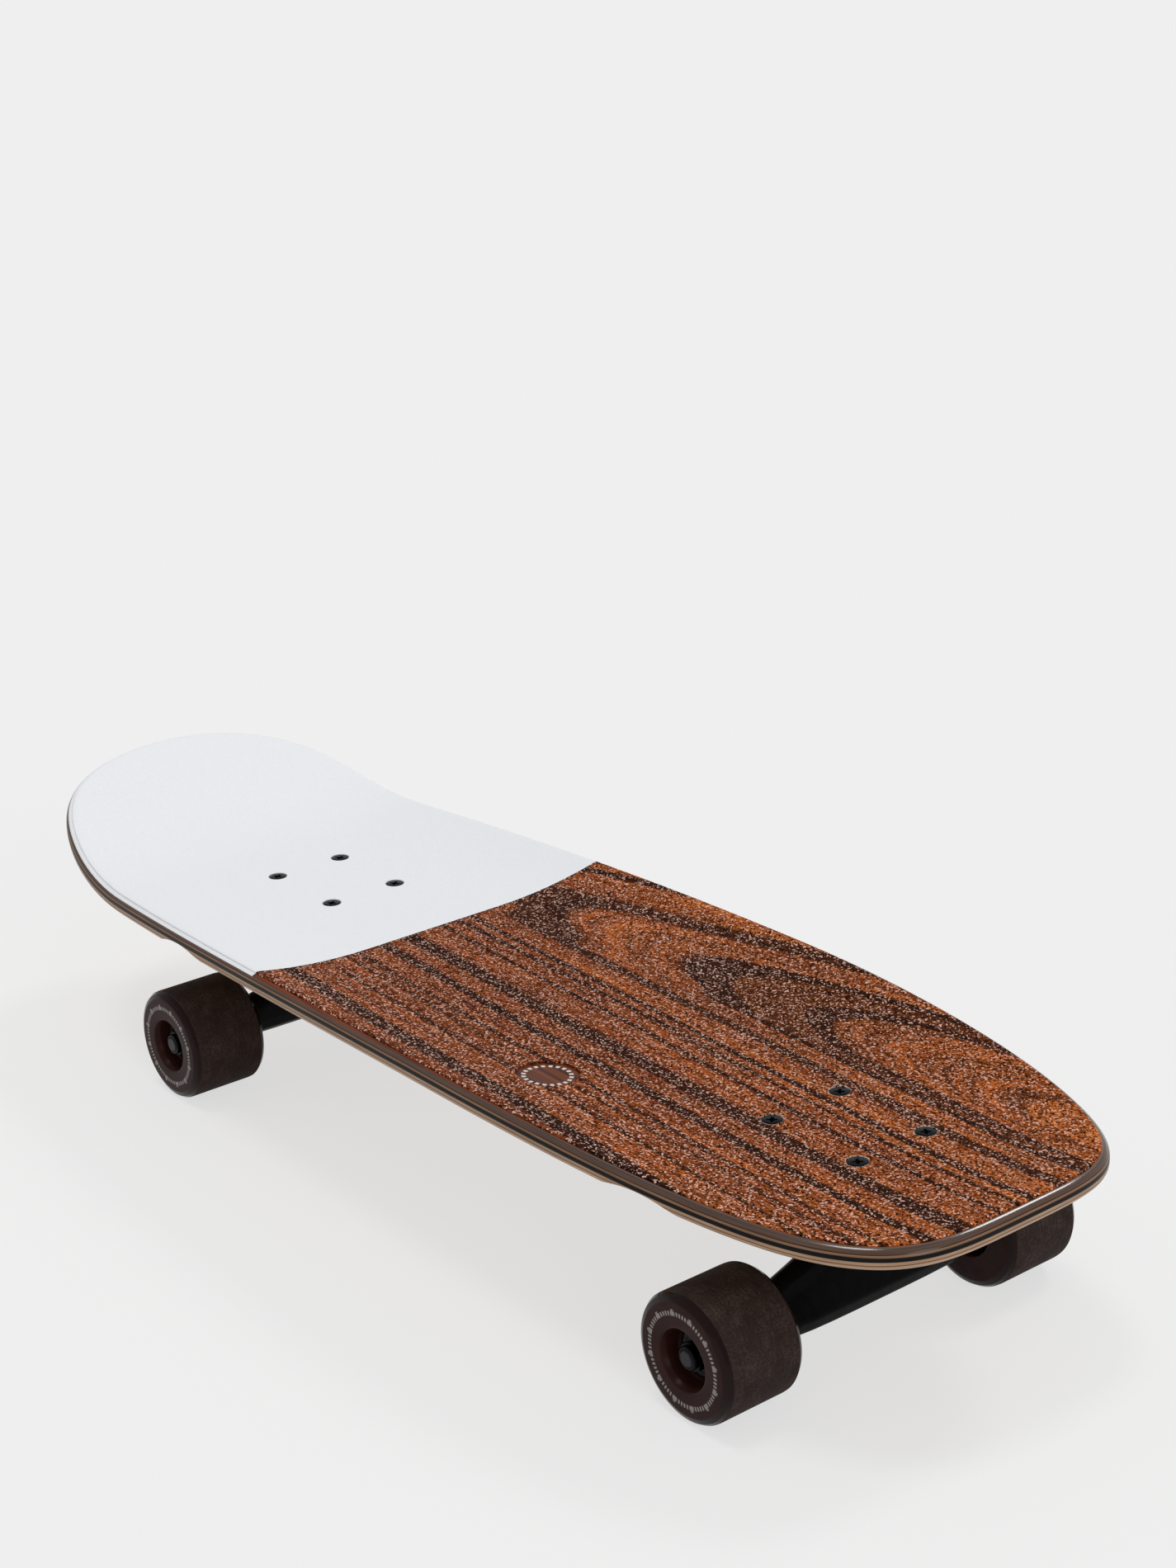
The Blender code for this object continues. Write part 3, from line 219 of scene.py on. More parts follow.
class Value:
    """A number that a material's nodes work out. Each sum with it adds a node."""

    def __init__(self, graph, socket):
        self.graph = graph
        self.socket = socket

    def __add__(self, other):
        return self.graph.maths("ADD", self, other)

    def __sub__(self, other):
        return self.graph.maths("SUBTRACT", self, other)

    def __mul__(self, other):
        return self.graph.maths("MULTIPLY", self, other)

    def __pow__(self, other):
        return self.graph.maths("POWER", self, other)

    def __abs__(self):
        return self.graph.maths("ABSOLUTE", self)


class Graph:
    """One material, or the world, and the nodes that make it."""

    def __init__(self, name, owners=bpy.data.materials):
        self.owner = owners.new(name)
        self.owner.use_nodes = True
        self.tree = self.owner.node_tree

    def add(self, kind, inputs, **settings):
        made = self.tree.nodes.new("ShaderNode" + kind)
        for key, value in settings.items():
            setattr(made, key, value)
        for key, value in inputs.items():
            self.put(made.inputs[key], value)
        return made

    def put(self, socket, value):
        if isinstance(value, Value):
            value = value.socket
        if isinstance(value, bpy.types.NodeSocket):
            self.tree.links.new(value, socket)
        else:
            socket.default_value = value

    def number(self, kind, inputs, **settings):
        return Value(self, self.add(kind, inputs, **settings).outputs[0])

    def maths(self, operation, *values, clamp=False):
        return self.number("Math", dict(enumerate(values)), operation=operation, use_clamp=clamp)

    def here(self):
        """The place of a point on the piece."""
        return self.add("TexCoord", {}).outputs["Object"]

    def place(self):
        """The x, y and z of a point on the piece."""
        return [Value(self, part) for part in self.add("SeparateXYZ", {0: self.here()}).outputs]

    def joined(self, x, y, z):
        return self.add("CombineXYZ", {0: x, 1: y, 2: z}).outputs[0]

    def distance(self, x, y):
        return self.maths("SQRT", x**2.0 + y**2.0)

    def noise(self, vector, scale=1.0, detail=2.0, roughness=0.5):
        inputs = {"Vector": vector, "Scale": scale, "Detail": detail, "Roughness": roughness}
        return self.number("TexNoise", inputs)

    def cells(self, vector, scale):
        """A random number from 0 to 1 for each small cell."""
        colour = self.add("TexVoronoi", {"Vector": vector, "Scale": scale}).outputs["Color"]
        return self.number("SeparateXYZ", {0: colour})

    def ramp(self, factor, *stops):
        """Colour stops as (place, sRGB colour)."""
        made = self.add("ValToRGB", {0: factor})
        elements = made.color_ramp.elements
        while len(elements) < len(stops):
            elements.new(0.5)
        for element, (place, colour) in zip(elements, stops):
            element.position = place
            element.color = linear(colour)
        return made.outputs["Color"]

    def remap(self, value, low, high, start=0.0, end=1.0):
        """Low at start, high at end, even between them and held outside them."""
        return self.number("MapRange", {0: value, 1: start, 2: end, 3: low, 4: high})

    def step(self, value, start, end):
        """0 below start, 1 above end, and even between them."""
        return self.remap(value, 0.0, 1.0, start, end)

    def soft_least(self, first, second, softness):
        """The smaller of two values, with the corner between them rounded off."""
        return self.maths("SMOOTH_MIN", first, second, softness)

    def mix(self, factor, first, second, blend_type="MIX"):
        inputs = {0: factor, 6: first, 7: second}
        return self.add("Mix", inputs, data_type="RGBA", blend_type=blend_type).outputs[2]

    def tick_ring(self, x, y, inner, outer, count, half_share):
        """1 on count short marks that stand round a centre between two radii, 0 elsewhere."""
        soft = 0.0001
        soft_share = 0.04
        radius = self.distance(x, y)
        marks = (self.maths("ARCTAN2", y, x) + math.pi) * (count / (2 * math.pi))
        off_middle = abs(self.maths("FRACT", marks) - 0.5)
        tick = self.step(off_middle, half_share + soft_share, half_share - soft_share)
        beyond = self.step(radius, inner - soft, inner + soft)
        short_of = self.step(radius, outer + soft, outer - soft)
        return tick * (beyond * short_of)

    def bump(self, height, distance, strength):
        inputs = {"Height": height, "Distance": distance, "Strength": strength}
        return self.add("Bump", inputs).outputs["Normal"]

    def finish(self, **sockets):
        shader = self.tree.nodes["Principled BSDF"]
        for key, value in sockets.items():
            self.put(shader.inputs[key.replace("_", " ")], value)
        return self.owner

    def show(self, kind, surface):
        self.tree.links.new(surface, self.tree.nodes[kind + " Output"].inputs["Surface"])


def rosewood(g):
    """The printed veneer: dark lines, straight on the right and nested arches on the left."""
    x, y, _ = g.place()
    x = x * MILLIMETRES
    y = y * MILLIMETRES
    slow = g.noise(g.joined(x * 0.006, y * 0.018, 0.3))
    quick = g.noise(g.joined(x * 0.028, y * 0.13, 7.7))
    y = y + (slow * 5.0 + quick * 1.3 - 3.15)

    # The measure: straight lines on the right, slanted ones on the left, arches where they meet
    right_arm = y + (x + 65.0) * 0.039
    left_arm = x * 0.124 + 105.5 - y * 0.75
    off_axis = y - (x * 0.02 + 66.5)
    bow = g.maths("MINIMUM", off_axis**2.0, 300.0)
    tip = (x - bow * 0.11) * 0.10 + 46.0
    measure = g.soft_least(g.soft_least(right_arm, left_arm, 5.0), tip, 3.0)

    fibre = g.noise(g.joined(x * 0.012, measure * 0.85, 4.7), detail=3.0)
    ragged = (fibre - 0.5) * 2.4
    dark = 0.0
    for middle, half_width, darkness in GRAIN_LINES:
        away = abs(measure - middle) + ragged
        line = g.step(away, half_width + 0.7, half_width - 0.7)
        dark = g.maths("MAXIMUM", dark, line * darkness)
    patchy = g.noise(g.joined(x * 0.03, measure * 0.9, 3.1), detail=3.0)
    dark = dark * g.step(patchy, 0.02, 0.34)
    hair = g.noise(g.joined(x * 0.022, measure * 1.5, 6.4))
    dark = g.maths("MAXIMUM", dark, g.step(hair, 0.54, 0.64) * 0.62)

    broad = g.noise(g.joined(x * 0.005, measure * 0.16, 2.2), detail=3.0)
    towards_nose = g.step(x + y * 2.4, -60.0, 440.0)
    # Painted sheen: the wood is lighter from 45 mm to 90 mm right of the middle, on the near rail;
    # from 98 mm it grows darker towards that edge.
    painted_sheen_near_rail = g.step(y, -45.0, -90.0)
    over_edge = g.step(y, -98.0, -109.0)
    light = g.ramp(
        broad * 0.8 + towards_nose * 0.30 + painted_sheen_near_rail * 0.14 - over_edge * 0.26,
        (0.30, (128, 63, 32)),
        (0.50, (156, 79, 34)),
        (0.68, (180, 94, 37)),
        (0.88, (208, 114, 46)),
    )
    light = g.mix(g.step(fibre, 0.56, 0.34) * 0.75, light, linear((98, 46, 26)))
    charcoal = g.ramp(fibre, (0.30, (60, 27, 15)), (0.60, (28, 14, 9)))
    return g.mix(dark, light, charcoal)


def painted_bolt_highlight(g):
    """1 in a thin ring round each mounting bolt, where a pale highlight is painted on the rim of the
    hole, and 0 elsewhere.
    """
    x, y, _ = g.place()
    front_x, rear_x = (truck.translation.x for truck in TRUCKS.values())
    from_truck = abs(x - (front_x + rear_x) / 2) - (front_x - rear_x) / 2
    along_bolt = abs(from_truck) - BOLT_ALONG / 2
    across_bolt = abs(y) - BOLT_ACROSS / 2
    edge = GRIP_HOLE_RADIUS + 0.0002
    return g.step(along_bolt**2.0 + across_bolt**2.0, edge**2, (edge - 0.0001) ** 2)


def top_print(g):
    """White paint behind a fine dark line and rosewood ahead of it, and 1 where rosewood is."""
    x, _, _ = g.place()
    ahead = g.step(x, PAINT_EDGE_X, PAINT_EDGE_X + 0.0002)
    line_end = PAINT_EDGE_X + PAINT_LINE_WIDTH
    wood = g.mix(g.step(x, line_end, line_end + 0.0003), linear((44, 34, 31)), rosewood(g))
    # Painted highlight: a pale ring round each bolt hole on the wood.
    wood = g.mix(painted_bolt_highlight(g), wood, linear((206, 194, 184)))
    return g.mix(ahead, linear(PAINT), wood), ahead


def window_dial(g):
    """A plain ring of short marks inside the window of the grip sheet, 1 on the marks."""
    x, y, _ = g.place()
    x = x - WINDOW_PLACE[0]
    y = y - WINDOW_PLACE[1]
    return g.tick_ring(x, y, inner=0.0101, outer=0.0122, count=20, half_share=0.26)


def deck_material():
    """Print on top, bare plies round the edge and clear maple below, by depth under the top."""
    g = Graph("laminated deck")
    x, y, _ = g.place()
    depth = Value(g, g.add("Attribute", {}, attribute_name="depth").outputs["Fac"])
    share = depth * (1 / DECK_THICKNESS)
    plies = g.ramp(
        share,
        (0.000, (112, 84, 68)),
        (0.050, (90, 66, 53)),
        (0.080, (50, 34, 26)),
        (0.120, (80, 56, 43)),
        (0.235, (92, 66, 51)),
        (0.252, (40, 28, 22)),
        (0.275, (44, 31, 24)),
        (0.292, (138, 106, 82)),
        (0.372, (132, 100, 76)),
        (0.388, (12, 11, 12)),
        (0.560, (10, 9, 11)),
        (0.580, (172, 141, 114)),
        (0.690, (178, 147, 120)),
        (0.705, (122, 84, 62)),
        (0.745, (128, 90, 68)),
        (0.765, (186, 156, 129)),
        (1.000, (176, 146, 119)),
    )
    fibre = g.noise(g.joined(x * 40.0, y * 40.0, depth * 2600.0), detail=3.0)
    streaks = g.ramp(fibre, (0.30, (186, 178, 172)), (0.62, (255, 255, 255)))
    plies = g.mix(0.85, plies, streaks, "MULTIPLY")

    grain = g.noise(g.joined(x * 9.0, y * 190.0, 5.0), detail=4.0, roughness=0.6)
    figure = g.noise(g.joined(x * 3.0, y * 26.0, 8.0))
    maple = g.ramp(
        grain * 0.55 + figure * 0.45,
        (0.34, (186, 148, 108)),
        (0.50, (208, 174, 134)),
        (0.66, (220, 190, 152)),
    )
    edge = g.mix(g.step(share, 0.965, 0.99), plies, maple)

    printed, ahead = top_print(g)
    shade = g.remap(share, 0.58, 0.25, start=0.0, end=0.02)
    printed = g.mix(ahead * shade, printed, linear((58, 26, 10)))
    printed = g.mix(window_dial(g) * 0.85, printed, linear((222, 216, 212)))
    wrap = g.remap(x, 0.130, 0.020, start=PAINT_EDGE_X, end=0.200)
    bare = g.step(share - wrap, 0.0, 0.02)
    return g.finish(
        Base_Color=g.mix(bare, printed, edge),
        Roughness=g.remap(fibre, 0.30, 0.44, start=0.3, end=0.7),
        Normal=g.bump(fibre * 0.5 + grain * 0.5, 0.00012, 0.5),
        Specular_IOR_Level=0.12,
        Coat_Weight=bare * g.step(share, 0.34, 0.10),
        Coat_Roughness=0.15,
    )


def grip_material():
    """Clear grit over the same print; it shows as dark pits and, on the wood, painted glints that grow
    towards the near rail.
    """
    g = Graph("clear grit over print")
    _, y, _ = g.place()
    printed, ahead = top_print(g)
    grains = g.cells(g.here(), 1200.0)
    clumps = g.noise(g.here(), 900.0, 1.0)
    grit = grains * 0.62 + clumps * 0.62
    on_wood = g.remap(ahead, 0.02, 1.0)
    pits = g.step(grit, 0.57, 0.39) * 0.96
    pitted = g.mix(pits * on_wood, printed, linear((14, 5, 3)))
    # Painted glints: pale specks on the grit over the wood, stronger from 45 mm right of the middle
    # towards the near rail.
    painted_sheen_near_rail = g.remap(y, 0.80, 0.96, start=-0.045, end=-0.100)
    painted_glint = g.step(grit, 0.80, 0.91) * painted_sheen_near_rail
    return g.finish(
        Base_Color=g.mix(painted_glint * on_wood, pitted, linear((226, 184, 166))),
        Roughness=g.remap(grains, 0.60, 0.86),
        Normal=g.bump(grains * 0.6 + clumps * 0.8, 0.00025, 0.45),
        Specular_IOR_Level=0.03,
    )


def casting_material():
    g = Graph("black coated casting")
    cast = g.noise(g.here(), 260.0, 3.0)
    fine = g.noise(g.here(), 1800.0)
    return g.finish(
        Base_Color=g.ramp(cast, (0.3, (5, 5, 6)), (0.7, (10, 10, 11))),
        Roughness=g.remap(cast, 0.36, 0.48, start=0.3, end=0.7),
        Normal=g.bump(cast * 0.7 + fine * 0.3, 0.00015, 0.5),
        Specular_IOR_Level=0.04,
    )


def steel_material(name, low, high):
    """Turned or plated steel between two colours; marks run round the piece's own axis."""
    g = Graph(name)
    x, y, z = g.place()
    marks = g.noise(g.joined(g.distance(x, y) * 5200.0, z * 5200.0, 0.0), detail=1.0)
    cloud = g.noise(g.here(), 420.0, 3.0)
    return g.finish(
        Base_Color=g.ramp(marks * 0.4 + cloud * 0.6, (0.3, low), (0.7, high)),
        Roughness=g.remap(cloud, 0.26, 0.40, start=0.3, end=0.7),
        Normal=g.bump(marks, 0.00004, 0.4),
        Metallic=1.0,
    )


def shield_material():
    """Bright rings round a black shield, told apart by the distance from the axis."""
    g = Graph("bearing with black shield")
    x, y, _ = g.place()
    ring = g.step(g.distance(x, y), 0.00950, 0.00956)
    cloud = g.noise(g.here(), 900.0)
    black = g.ramp(cloud, (0.3, (20, 20, 22)), (0.7, (32, 32, 34)))
    bright = g.ramp(cloud, (0.3, (96, 96, 98)), (0.7, (124, 124, 126)))
    return g.finish(
        Base_Color=g.mix(ring, black, bright),
        Roughness=g.remap(ring, 0.5, 0.28),
        Metallic=ring * 0.9,
    )


def moulded_material(name, texture, greys, roughness, relief):
    """Black plastic. Texture is (scale, detail), roughness its two ends, relief (height, strength)."""
    g = Graph(name)
    cloud = g.noise(g.here(), *texture)
    return g.finish(
        Base_Color=g.ramp(cloud, (0.3, greys[0]), (0.7, greys[1])),
        Roughness=g.remap(cloud, *roughness),
        Normal=g.bump(cloud, *relief),
    )


def urethane_material():
    """A ground, porous tread between glossy lips, with a plain dial of fine ticks on the face."""
    g = Graph("maroon wheel urethane")
    x, y, z = g.place()
    radius = g.distance(x, y)
    ground = g.step(radius, 0.02930, 0.02945) * g.step(abs(z), 0.01885, 0.01875)
    pores = g.noise(g.here(), 950.0, 3.0, 0.65)
    laps = g.noise(g.joined(g.maths("ARCTAN2", y, x) * 3.0, z * 900.0, 0.0), detail=3.0)
    patches = g.noise(g.here(), 120.0, 3.0)
    worn = pores * 0.45 + (laps * 0.2 + patches * 0.35)
    tread = g.ramp(worn, (0.32, (32, 25, 23)), (0.50, (49, 39, 36)), (0.68, (72, 60, 56)))
    body = g.ramp(patches, (0.3, (38, 18, 15)), (0.7, (48, 24, 20)))
    lip = g.step(radius, 0.0258, 0.0264)
    body = g.mix(lip, body, linear((27, 10, 9)))

    fine = g.tick_ring(x, y, inner=0.0202, outer=0.0222, count=72, half_share=0.27)
    coarse = g.tick_ring(x, y, inner=0.0202, outer=0.0232, count=12, half_share=0.06)
    dial = g.maths("MAXIMUM", fine, coarse) * g.step(z, 0.0200, 0.0202)
    face = g.mix(dial * 0.65, body, linear((168, 162, 160)))
    return g.finish(
        Base_Color=g.mix(ground, face, tread),
        Roughness=g.remap(ground, g.remap(lip, 0.30, 0.10), 0.78),
        Normal=g.bump(worn * ground, 0.00035, 0.6),
        Specular_IOR_Level=g.remap(ground, g.remap(lip, 0.06, 0.12), 0.08),
    )


def mesh_from(shape, name, angle=40):
    bmesh.ops.remove_doubles(shape, verts=shape.verts, dist=MERGE_DISTANCE)
    bmesh.ops.recalc_face_normals(shape, faces=shape.faces)
    mesh = bpy.data.meshes.new(name)
    shape.to_mesh(mesh)
    shape.free()
    mesh.shade_smooth()
    mesh.set_sharp_from_angle(angle=math.radians(angle))
    return mesh


def loops_mesh(name, loops, ring=False, angle=40):
    """A closed body over loops of equally many points: capped, or joined into a ring."""
    shape = bmesh.new()
    rows = [[shape.verts.new(point) for point in loop] for loop in loops]
    pairs = list(zip(rows, rows[1:]))
    if ring:
        pairs.append((rows[-1], rows[0]))
    for first, second in pairs:
        for index in range(len(first)):
            after = (index + 1) % len(first)
            shape.faces.new((first[index], first[after], second[after], second[index]))
    if not ring:
        shape.faces.new(rows[0])
        shape.faces.new(rows[-1])
    return mesh_from(shape, name, angle)


def rounded(corners, closed=True, steps=4):
    """A profile whose corners (radius, height, fillet) become short arcs."""
    points = []
    count = len(corners)
    for index, (r, z, fillet) in enumerate(corners):
        here = Vector((r, z))
        at_end = not closed and index in (0, count - 1)
        if fillet <= 0 or at_end:
            points.append(here)
            continue
        before = Vector(corners[index - 1][:2]) - here
        after = Vector(corners[(index + 1) % count][:2]) - here
        half = before.angle(after) / 2
        back = min(fillet / math.tan(half), 0.48 * before.length, 0.48 * after.length)
        start = here + before.normalized() * back
        end = here + after.normalized() * back
        for step in range(steps + 1):
            t = step / steps
            points.append(start.lerp(here, t).lerp(here.lerp(end, t), t))
    return points


def circle(radius, height, segments=SMALL_SEGMENTS):
    angles = (2 * math.pi * index / segments for index in range(segments))
    return [Vector((radius * math.cos(a), radius * math.sin(a), height)) for a in angles]


def turned(name, corners, segments=SMALL_SEGMENTS, ring=True, steps=4, angle=40):
    """A turned body about local Z from a profile of (radius, height, fillet)."""
    profile = rounded(corners, ring, steps)
    loops = [circle(max(r, LEAST_RADIUS), z, segments) for r, z in profile]
    return loops_mesh(name, loops, ring, angle)


def hexagon(flats, height, limit):
    """A level hexagon, cut back to a round limit so that its corners are chamfered."""
    loop = []
    for x, y, _ in circle(1.0, height):
        within = (math.atan2(y, x) + math.pi / 6) % (math.pi / 3) - math.pi / 6
        radius = min(flats / 2 / math.cos(within), limit)
        loop.append(Vector((radius * x, radius * y, height)))
    return loop


def hex_loops(flats, bottom, top):
    chamfer = 0.0005
    corner = flats / math.sqrt(3)
    narrow = flats / 2 * 1.02
    levels = ((bottom, narrow), (bottom + chamfer, corner), (top - chamfer, corner), (top, narrow))
    return [hexagon(flats, height, limit) for height, limit in levels]


def lock_nut(name, flats, height, hole, collar):
    """A hexagon nut with a round collar that holds its locking ring."""
    radius = flats / 2 * 0.88
    bevel = 0.3 * collar
    loops = [circle(hole, 0), *hex_loops(flats, 0, height - collar), circle(radius, height - collar)]
    loops += [circle(radius, height - bevel), circle(radius - bevel, height), circle(hole, height)]
    return loops_mesh(name, loops, ring=True, angle=32)


def mirrored(half, length=0.0):
    """A profile and its mirror image: about zero, or about the middle of a length from zero."""
    return half + [(r, length - z, fillet) for r, z, fillet in reversed(half)]


def threaded(radius, start, end, pitch=0.0010, depth=0.00030):
    """Profile points of fine ridges from start to end."""
    count = round(abs(end - start) / pitch)
    points = []
    for index in range(count):
        height = start + (end - start) * index / count
        middle = start + (end - start) * (index + 0.5) / count
        points += [(radius, height, 0), (radius - depth, middle, 0)]
    return points + [(radius, end, 0)]


def placed(name, data, matrix=Matrix.Identity(4)):
    """A new object in the scene."""
    made = bpy.data.objects.new(name, data)
    bpy.context.collection.objects.link(made)
    made.matrix_world = matrix
    return made


def add_piece(node, mesh, material, matrix=Matrix.Identity(4)):
    """A finer piece that stands for one node and hides the node's own part."""
    piece = placed(f"{node}_detail", mesh, matrix)
    piece.data.materials.clear()
    piece.data.materials.append(material)
    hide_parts(node)
    return piece


def add_riding(node, mesh, material, matrix=Matrix.Identity(4)):
    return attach(add_piece(node, mesh, material, matrix), BODY_OF[node])


def along(direction, place):
    """A matrix that puts local +Z along a direction, with its origin at a place."""
    return Matrix.Translation(place) @ direction.to_track_quat("Z", "Y").to_matrix().to_4x4()


def evaluated(mesh, set_up):
    """A mesh as set_up's modifiers leave it. The helpers that set_up returns are removed."""
    body = placed("being shaped", mesh)
    helpers = set_up(body) or []
    graph = bpy.context.evaluated_depsgraph_get()
    result = bpy.data.meshes.new_from_object(body.evaluated_get(graph))
    for helper in [body] + helpers:
        bpy.data.objects.remove(helper)
    return result


def cut(mesh, tools):
    """The mesh less each (tool mesh, matrix)."""

    def set_up(body):
        helpers = []
        for tool_mesh, matrix in tools:
            tool = placed("tool", tool_mesh, matrix)
            tool.hide_render = True
            modifier = body.modifiers.new("cut", "BOOLEAN")
            modifier.operation = "DIFFERENCE"
            modifier.solver = "EXACT"
            modifier.object = tool
            helpers.append(tool)
        return helpers

    result = evaluated(mesh, set_up)
    shape = bmesh.new()
    shape.from_mesh(result)
    return mesh_from(shape, mesh.name)


def as_cast(mesh):
    """The same form with the soft corners and fillets of a casting."""

    def set_up(body):
        remesh = body.modifiers.new("remesh", "REMESH")
        remesh.mode = "VOXEL"
        remesh.voxel_size = CAST_VOXEL
        soften = body.modifiers.new("soften", "SMOOTH")
        soften.factor = 0.5
        soften.iterations = CAST_ROUNDS

    result = evaluated(mesh.copy(), set_up)
    result.shade_smooth()
    return result


def kick_rise(x):
    """An arc and then a straight slope behind the place where the kicktail starts."""
    behind = KICK_START_X - x
    arc_length = KICK_RADIUS * math.sin(KICK_ANGLE)
    if behind <= 0:
        return 0.0
    if behind < arc_length:
        return KICK_RADIUS - math.sqrt(KICK_RADIUS**2 - behind**2)
    arc_rise = KICK_RADIUS * (1 - math.cos(KICK_ANGLE))
    return arc_rise + (behind - arc_length) * math.tan(KICK_ANGLE)


def concave_rise(x, y):
    ahead = x - CONCAVE_FORWARD
    reach = ahead / (CONCAVE_NOSE_REACH if ahead > 0 else CONCAVE_TAIL_REACH)
    strength = math.cos(math.pi / 2 * max(-1.0, min(1.0, reach))) ** 2
    share = max(0.0, abs(y) - FLAT_HALF_WIDTH) / (DECK_WIDTH / 2 - FLAT_HALF_WIDTH)
    return CONCAVE_RISE * strength * share**2


def mould(x, y):
    """How far the pressed deck rises over its flat middle."""
    share = max(0.0, x - LIFT_START_X) / (NOSE_X - LIFT_START_X)
    return kick_rise(x) + NOSE_LIFT * share**2 + concave_rise(x, y)


def upright_share(x, y):
    """How much further up it is through the sheet than square to it, where it slopes."""
    step = 0.0005
    slope_x = (mould(x + step, y) - mould(x - step, y)) / (2 * step)
    slope_y = (mould(x, y + step) - mould(x, y - step)) / (2 * step)
    return math.sqrt(1 + slope_x**2 + slope_y**2)


def half_outline():
    nose_reach = NOSE_X - WIDEST_FORWARD
    tail_reach = WIDEST_FORWARD - TAIL_X
    half = DECK_WIDTH / 2
    count = 900
    points = []
    for index in range(count):
        share = 1 - (index / count) ** NOSE_POWER_ACROSS
        width = half * (1 - share**NOSE_POWER_ALONG) ** (1 / NOSE_POWER_ACROSS)
        points.append(Vector((WIDEST_FORWARD + nose_reach * share, width)))
    for index in range(count + 1):
        share = 1 - (1 - index / count) ** 2
        taper = 1 - TAIL_TAPER * share**TAIL_TAPER_POWER
        width = half * taper * math.sqrt(max(0.0, 1 - share**TAIL_POWER_ALONG))
        points.append(Vector((WIDEST_FORWARD - tail_reach * share, width)))
    return points


def even_outline():
    """The half outline with RIM_SEGMENTS steps, closer together where it turns."""
    dense = half_outline()
    measure = [0.0]
    heading = None
    for first, second in zip(dense, dense[1:]):
        step = second - first
        turn = abs(heading.angle(step)) if heading and step.length and heading.length else 0.0
        measure.append(measure[-1] + step.length / RIM_STEP + turn / RIM_TURN)
        heading = step
    points = []
    place = 0
    for index in range(RIM_SEGMENTS + 1):
        wanted = measure[-1] * index / RIM_SEGMENTS
        while place < len(measure) - 2 and measure[place + 1] < wanted:
            place += 1
        share = (wanted - measure[place]) / (measure[place + 1] - measure[place])
        points.append(dense[place].lerp(dense[place + 1], min(1.0, share)))
    points[0].y = 0
    points[-1].y = 0
    return points


OUTLINE = even_outline()


def deck_loop(inset):
    right = [Vector((point.x, -point.y)) for point in reversed(OUTLINE[1:-1])]
    loop = OUTLINE + right
    moved = []
    for index, point in enumerate(loop):
        tangent = (loop[(index + 1) % len(loop)] - loop[index - 1]).normalized()
        moved.append(point + Vector((-tangent.y, tangent.x)) * inset)
    return moved


def deck_patch(loop):
    """A grid of points that fills the loop: rows run across the board."""
    half = SEGMENTS_ACROSS // 2
    rows = RIM_SEGMENTS - SEGMENTS_ACROSS
    nose = [loop[half - j] for j in range(SEGMENTS_ACROSS + 1)]
    tail = [loop[RIM_SEGMENTS - half + j] for j in range(SEGMENTS_ACROSS + 1)]
    left = [loop[half + i] for i in range(rows + 1)]
    right = [loop[-(half + i)] for i in range(rows + 1)]
    grid = []
    for i in range(rows + 1):
        near_nose = max(0.0, 1 - i / rows / END_BLEND) ** 2
        near_tail = max(0.0, 1 - (1 - i / rows) / END_BLEND) ** 2
        row = []
        for j in range(SEGMENTS_ACROSS + 1):
            even = j / SEGMENTS_ACROSS
            eased = (1 - math.cos(math.pi * even)) / 2
            share = EVEN_ACROSS * even + (1 - EVEN_ACROSS) * eased
            point = left[i].lerp(right[i], share)
            point = point + (nose[j] - left[0].lerp(right[0], share)) * near_nose
            point = point + (tail[j] - left[-1].lerp(right[-1], share)) * near_tail
            row.append(point)
        grid.append(row)
    return grid


def rim_of(grid):
    """The points on the edge of a grid, from the middle of the nose round by the left rail."""
    half = SEGMENTS_ACROSS // 2
    nose = grid[0]
    left = [row[0] for row in grid[:-1]]
    tail = grid[-1][:-1]
    right = [row[-1] for row in reversed(grid[1:])]
    return nose[half:0:-1] + left + tail + right + nose[:half:-1]


def pressed_sheet(name, edge, base_z):
    """A sheet pressed to the mould; edge lists (inset, depth) from its top rim to its bottom rim."""
    shape = bmesh.new()

    def vertex(point, depth):
        x, y = point
        return shape.verts.new((x, y, base_z + mould(x, y) - depth * upright_share(x, y)))

    def add_patch(inset, depth):
        grid = [[vertex(p, depth) for p in row] for row in deck_patch(deck_loop(inset))]
        for first, second in zip(grid, grid[1:]):
            for j in range(SEGMENTS_ACROSS):
                shape.faces.new((first[j], first[j + 1], second[j + 1], second[j]))
        return rim_of(grid)

    rims = [add_patch(*edge[0])]
    for inset, depth in edge[1:-1]:
        rims.append([vertex(point, depth) for point in deck_loop(inset)])
    rims.append(add_patch(*edge[-1]))
    for upper, lower in zip(rims, rims[1:]):
        for index in range(len(upper)):
            after = (index + 1) % len(upper)
            shape.faces.new((upper[index], upper[after], lower[after], lower[index]))
    return mesh_from(shape, name, angle=50)


def bolt_places():
    for end, truck in TRUCKS.items():
        for along_sign, place in ((1, "outboard"), (-1, "inboard")):
            for side in (1, -1):
                point = truck @ Vector((along_sign * BOLT_ALONG / 2, side * BOLT_ACROSS / 2, 0))
                name = "left" if point.y > 0 else "right"
                yield f"{end}_{place}_{name}", point.x, point.y


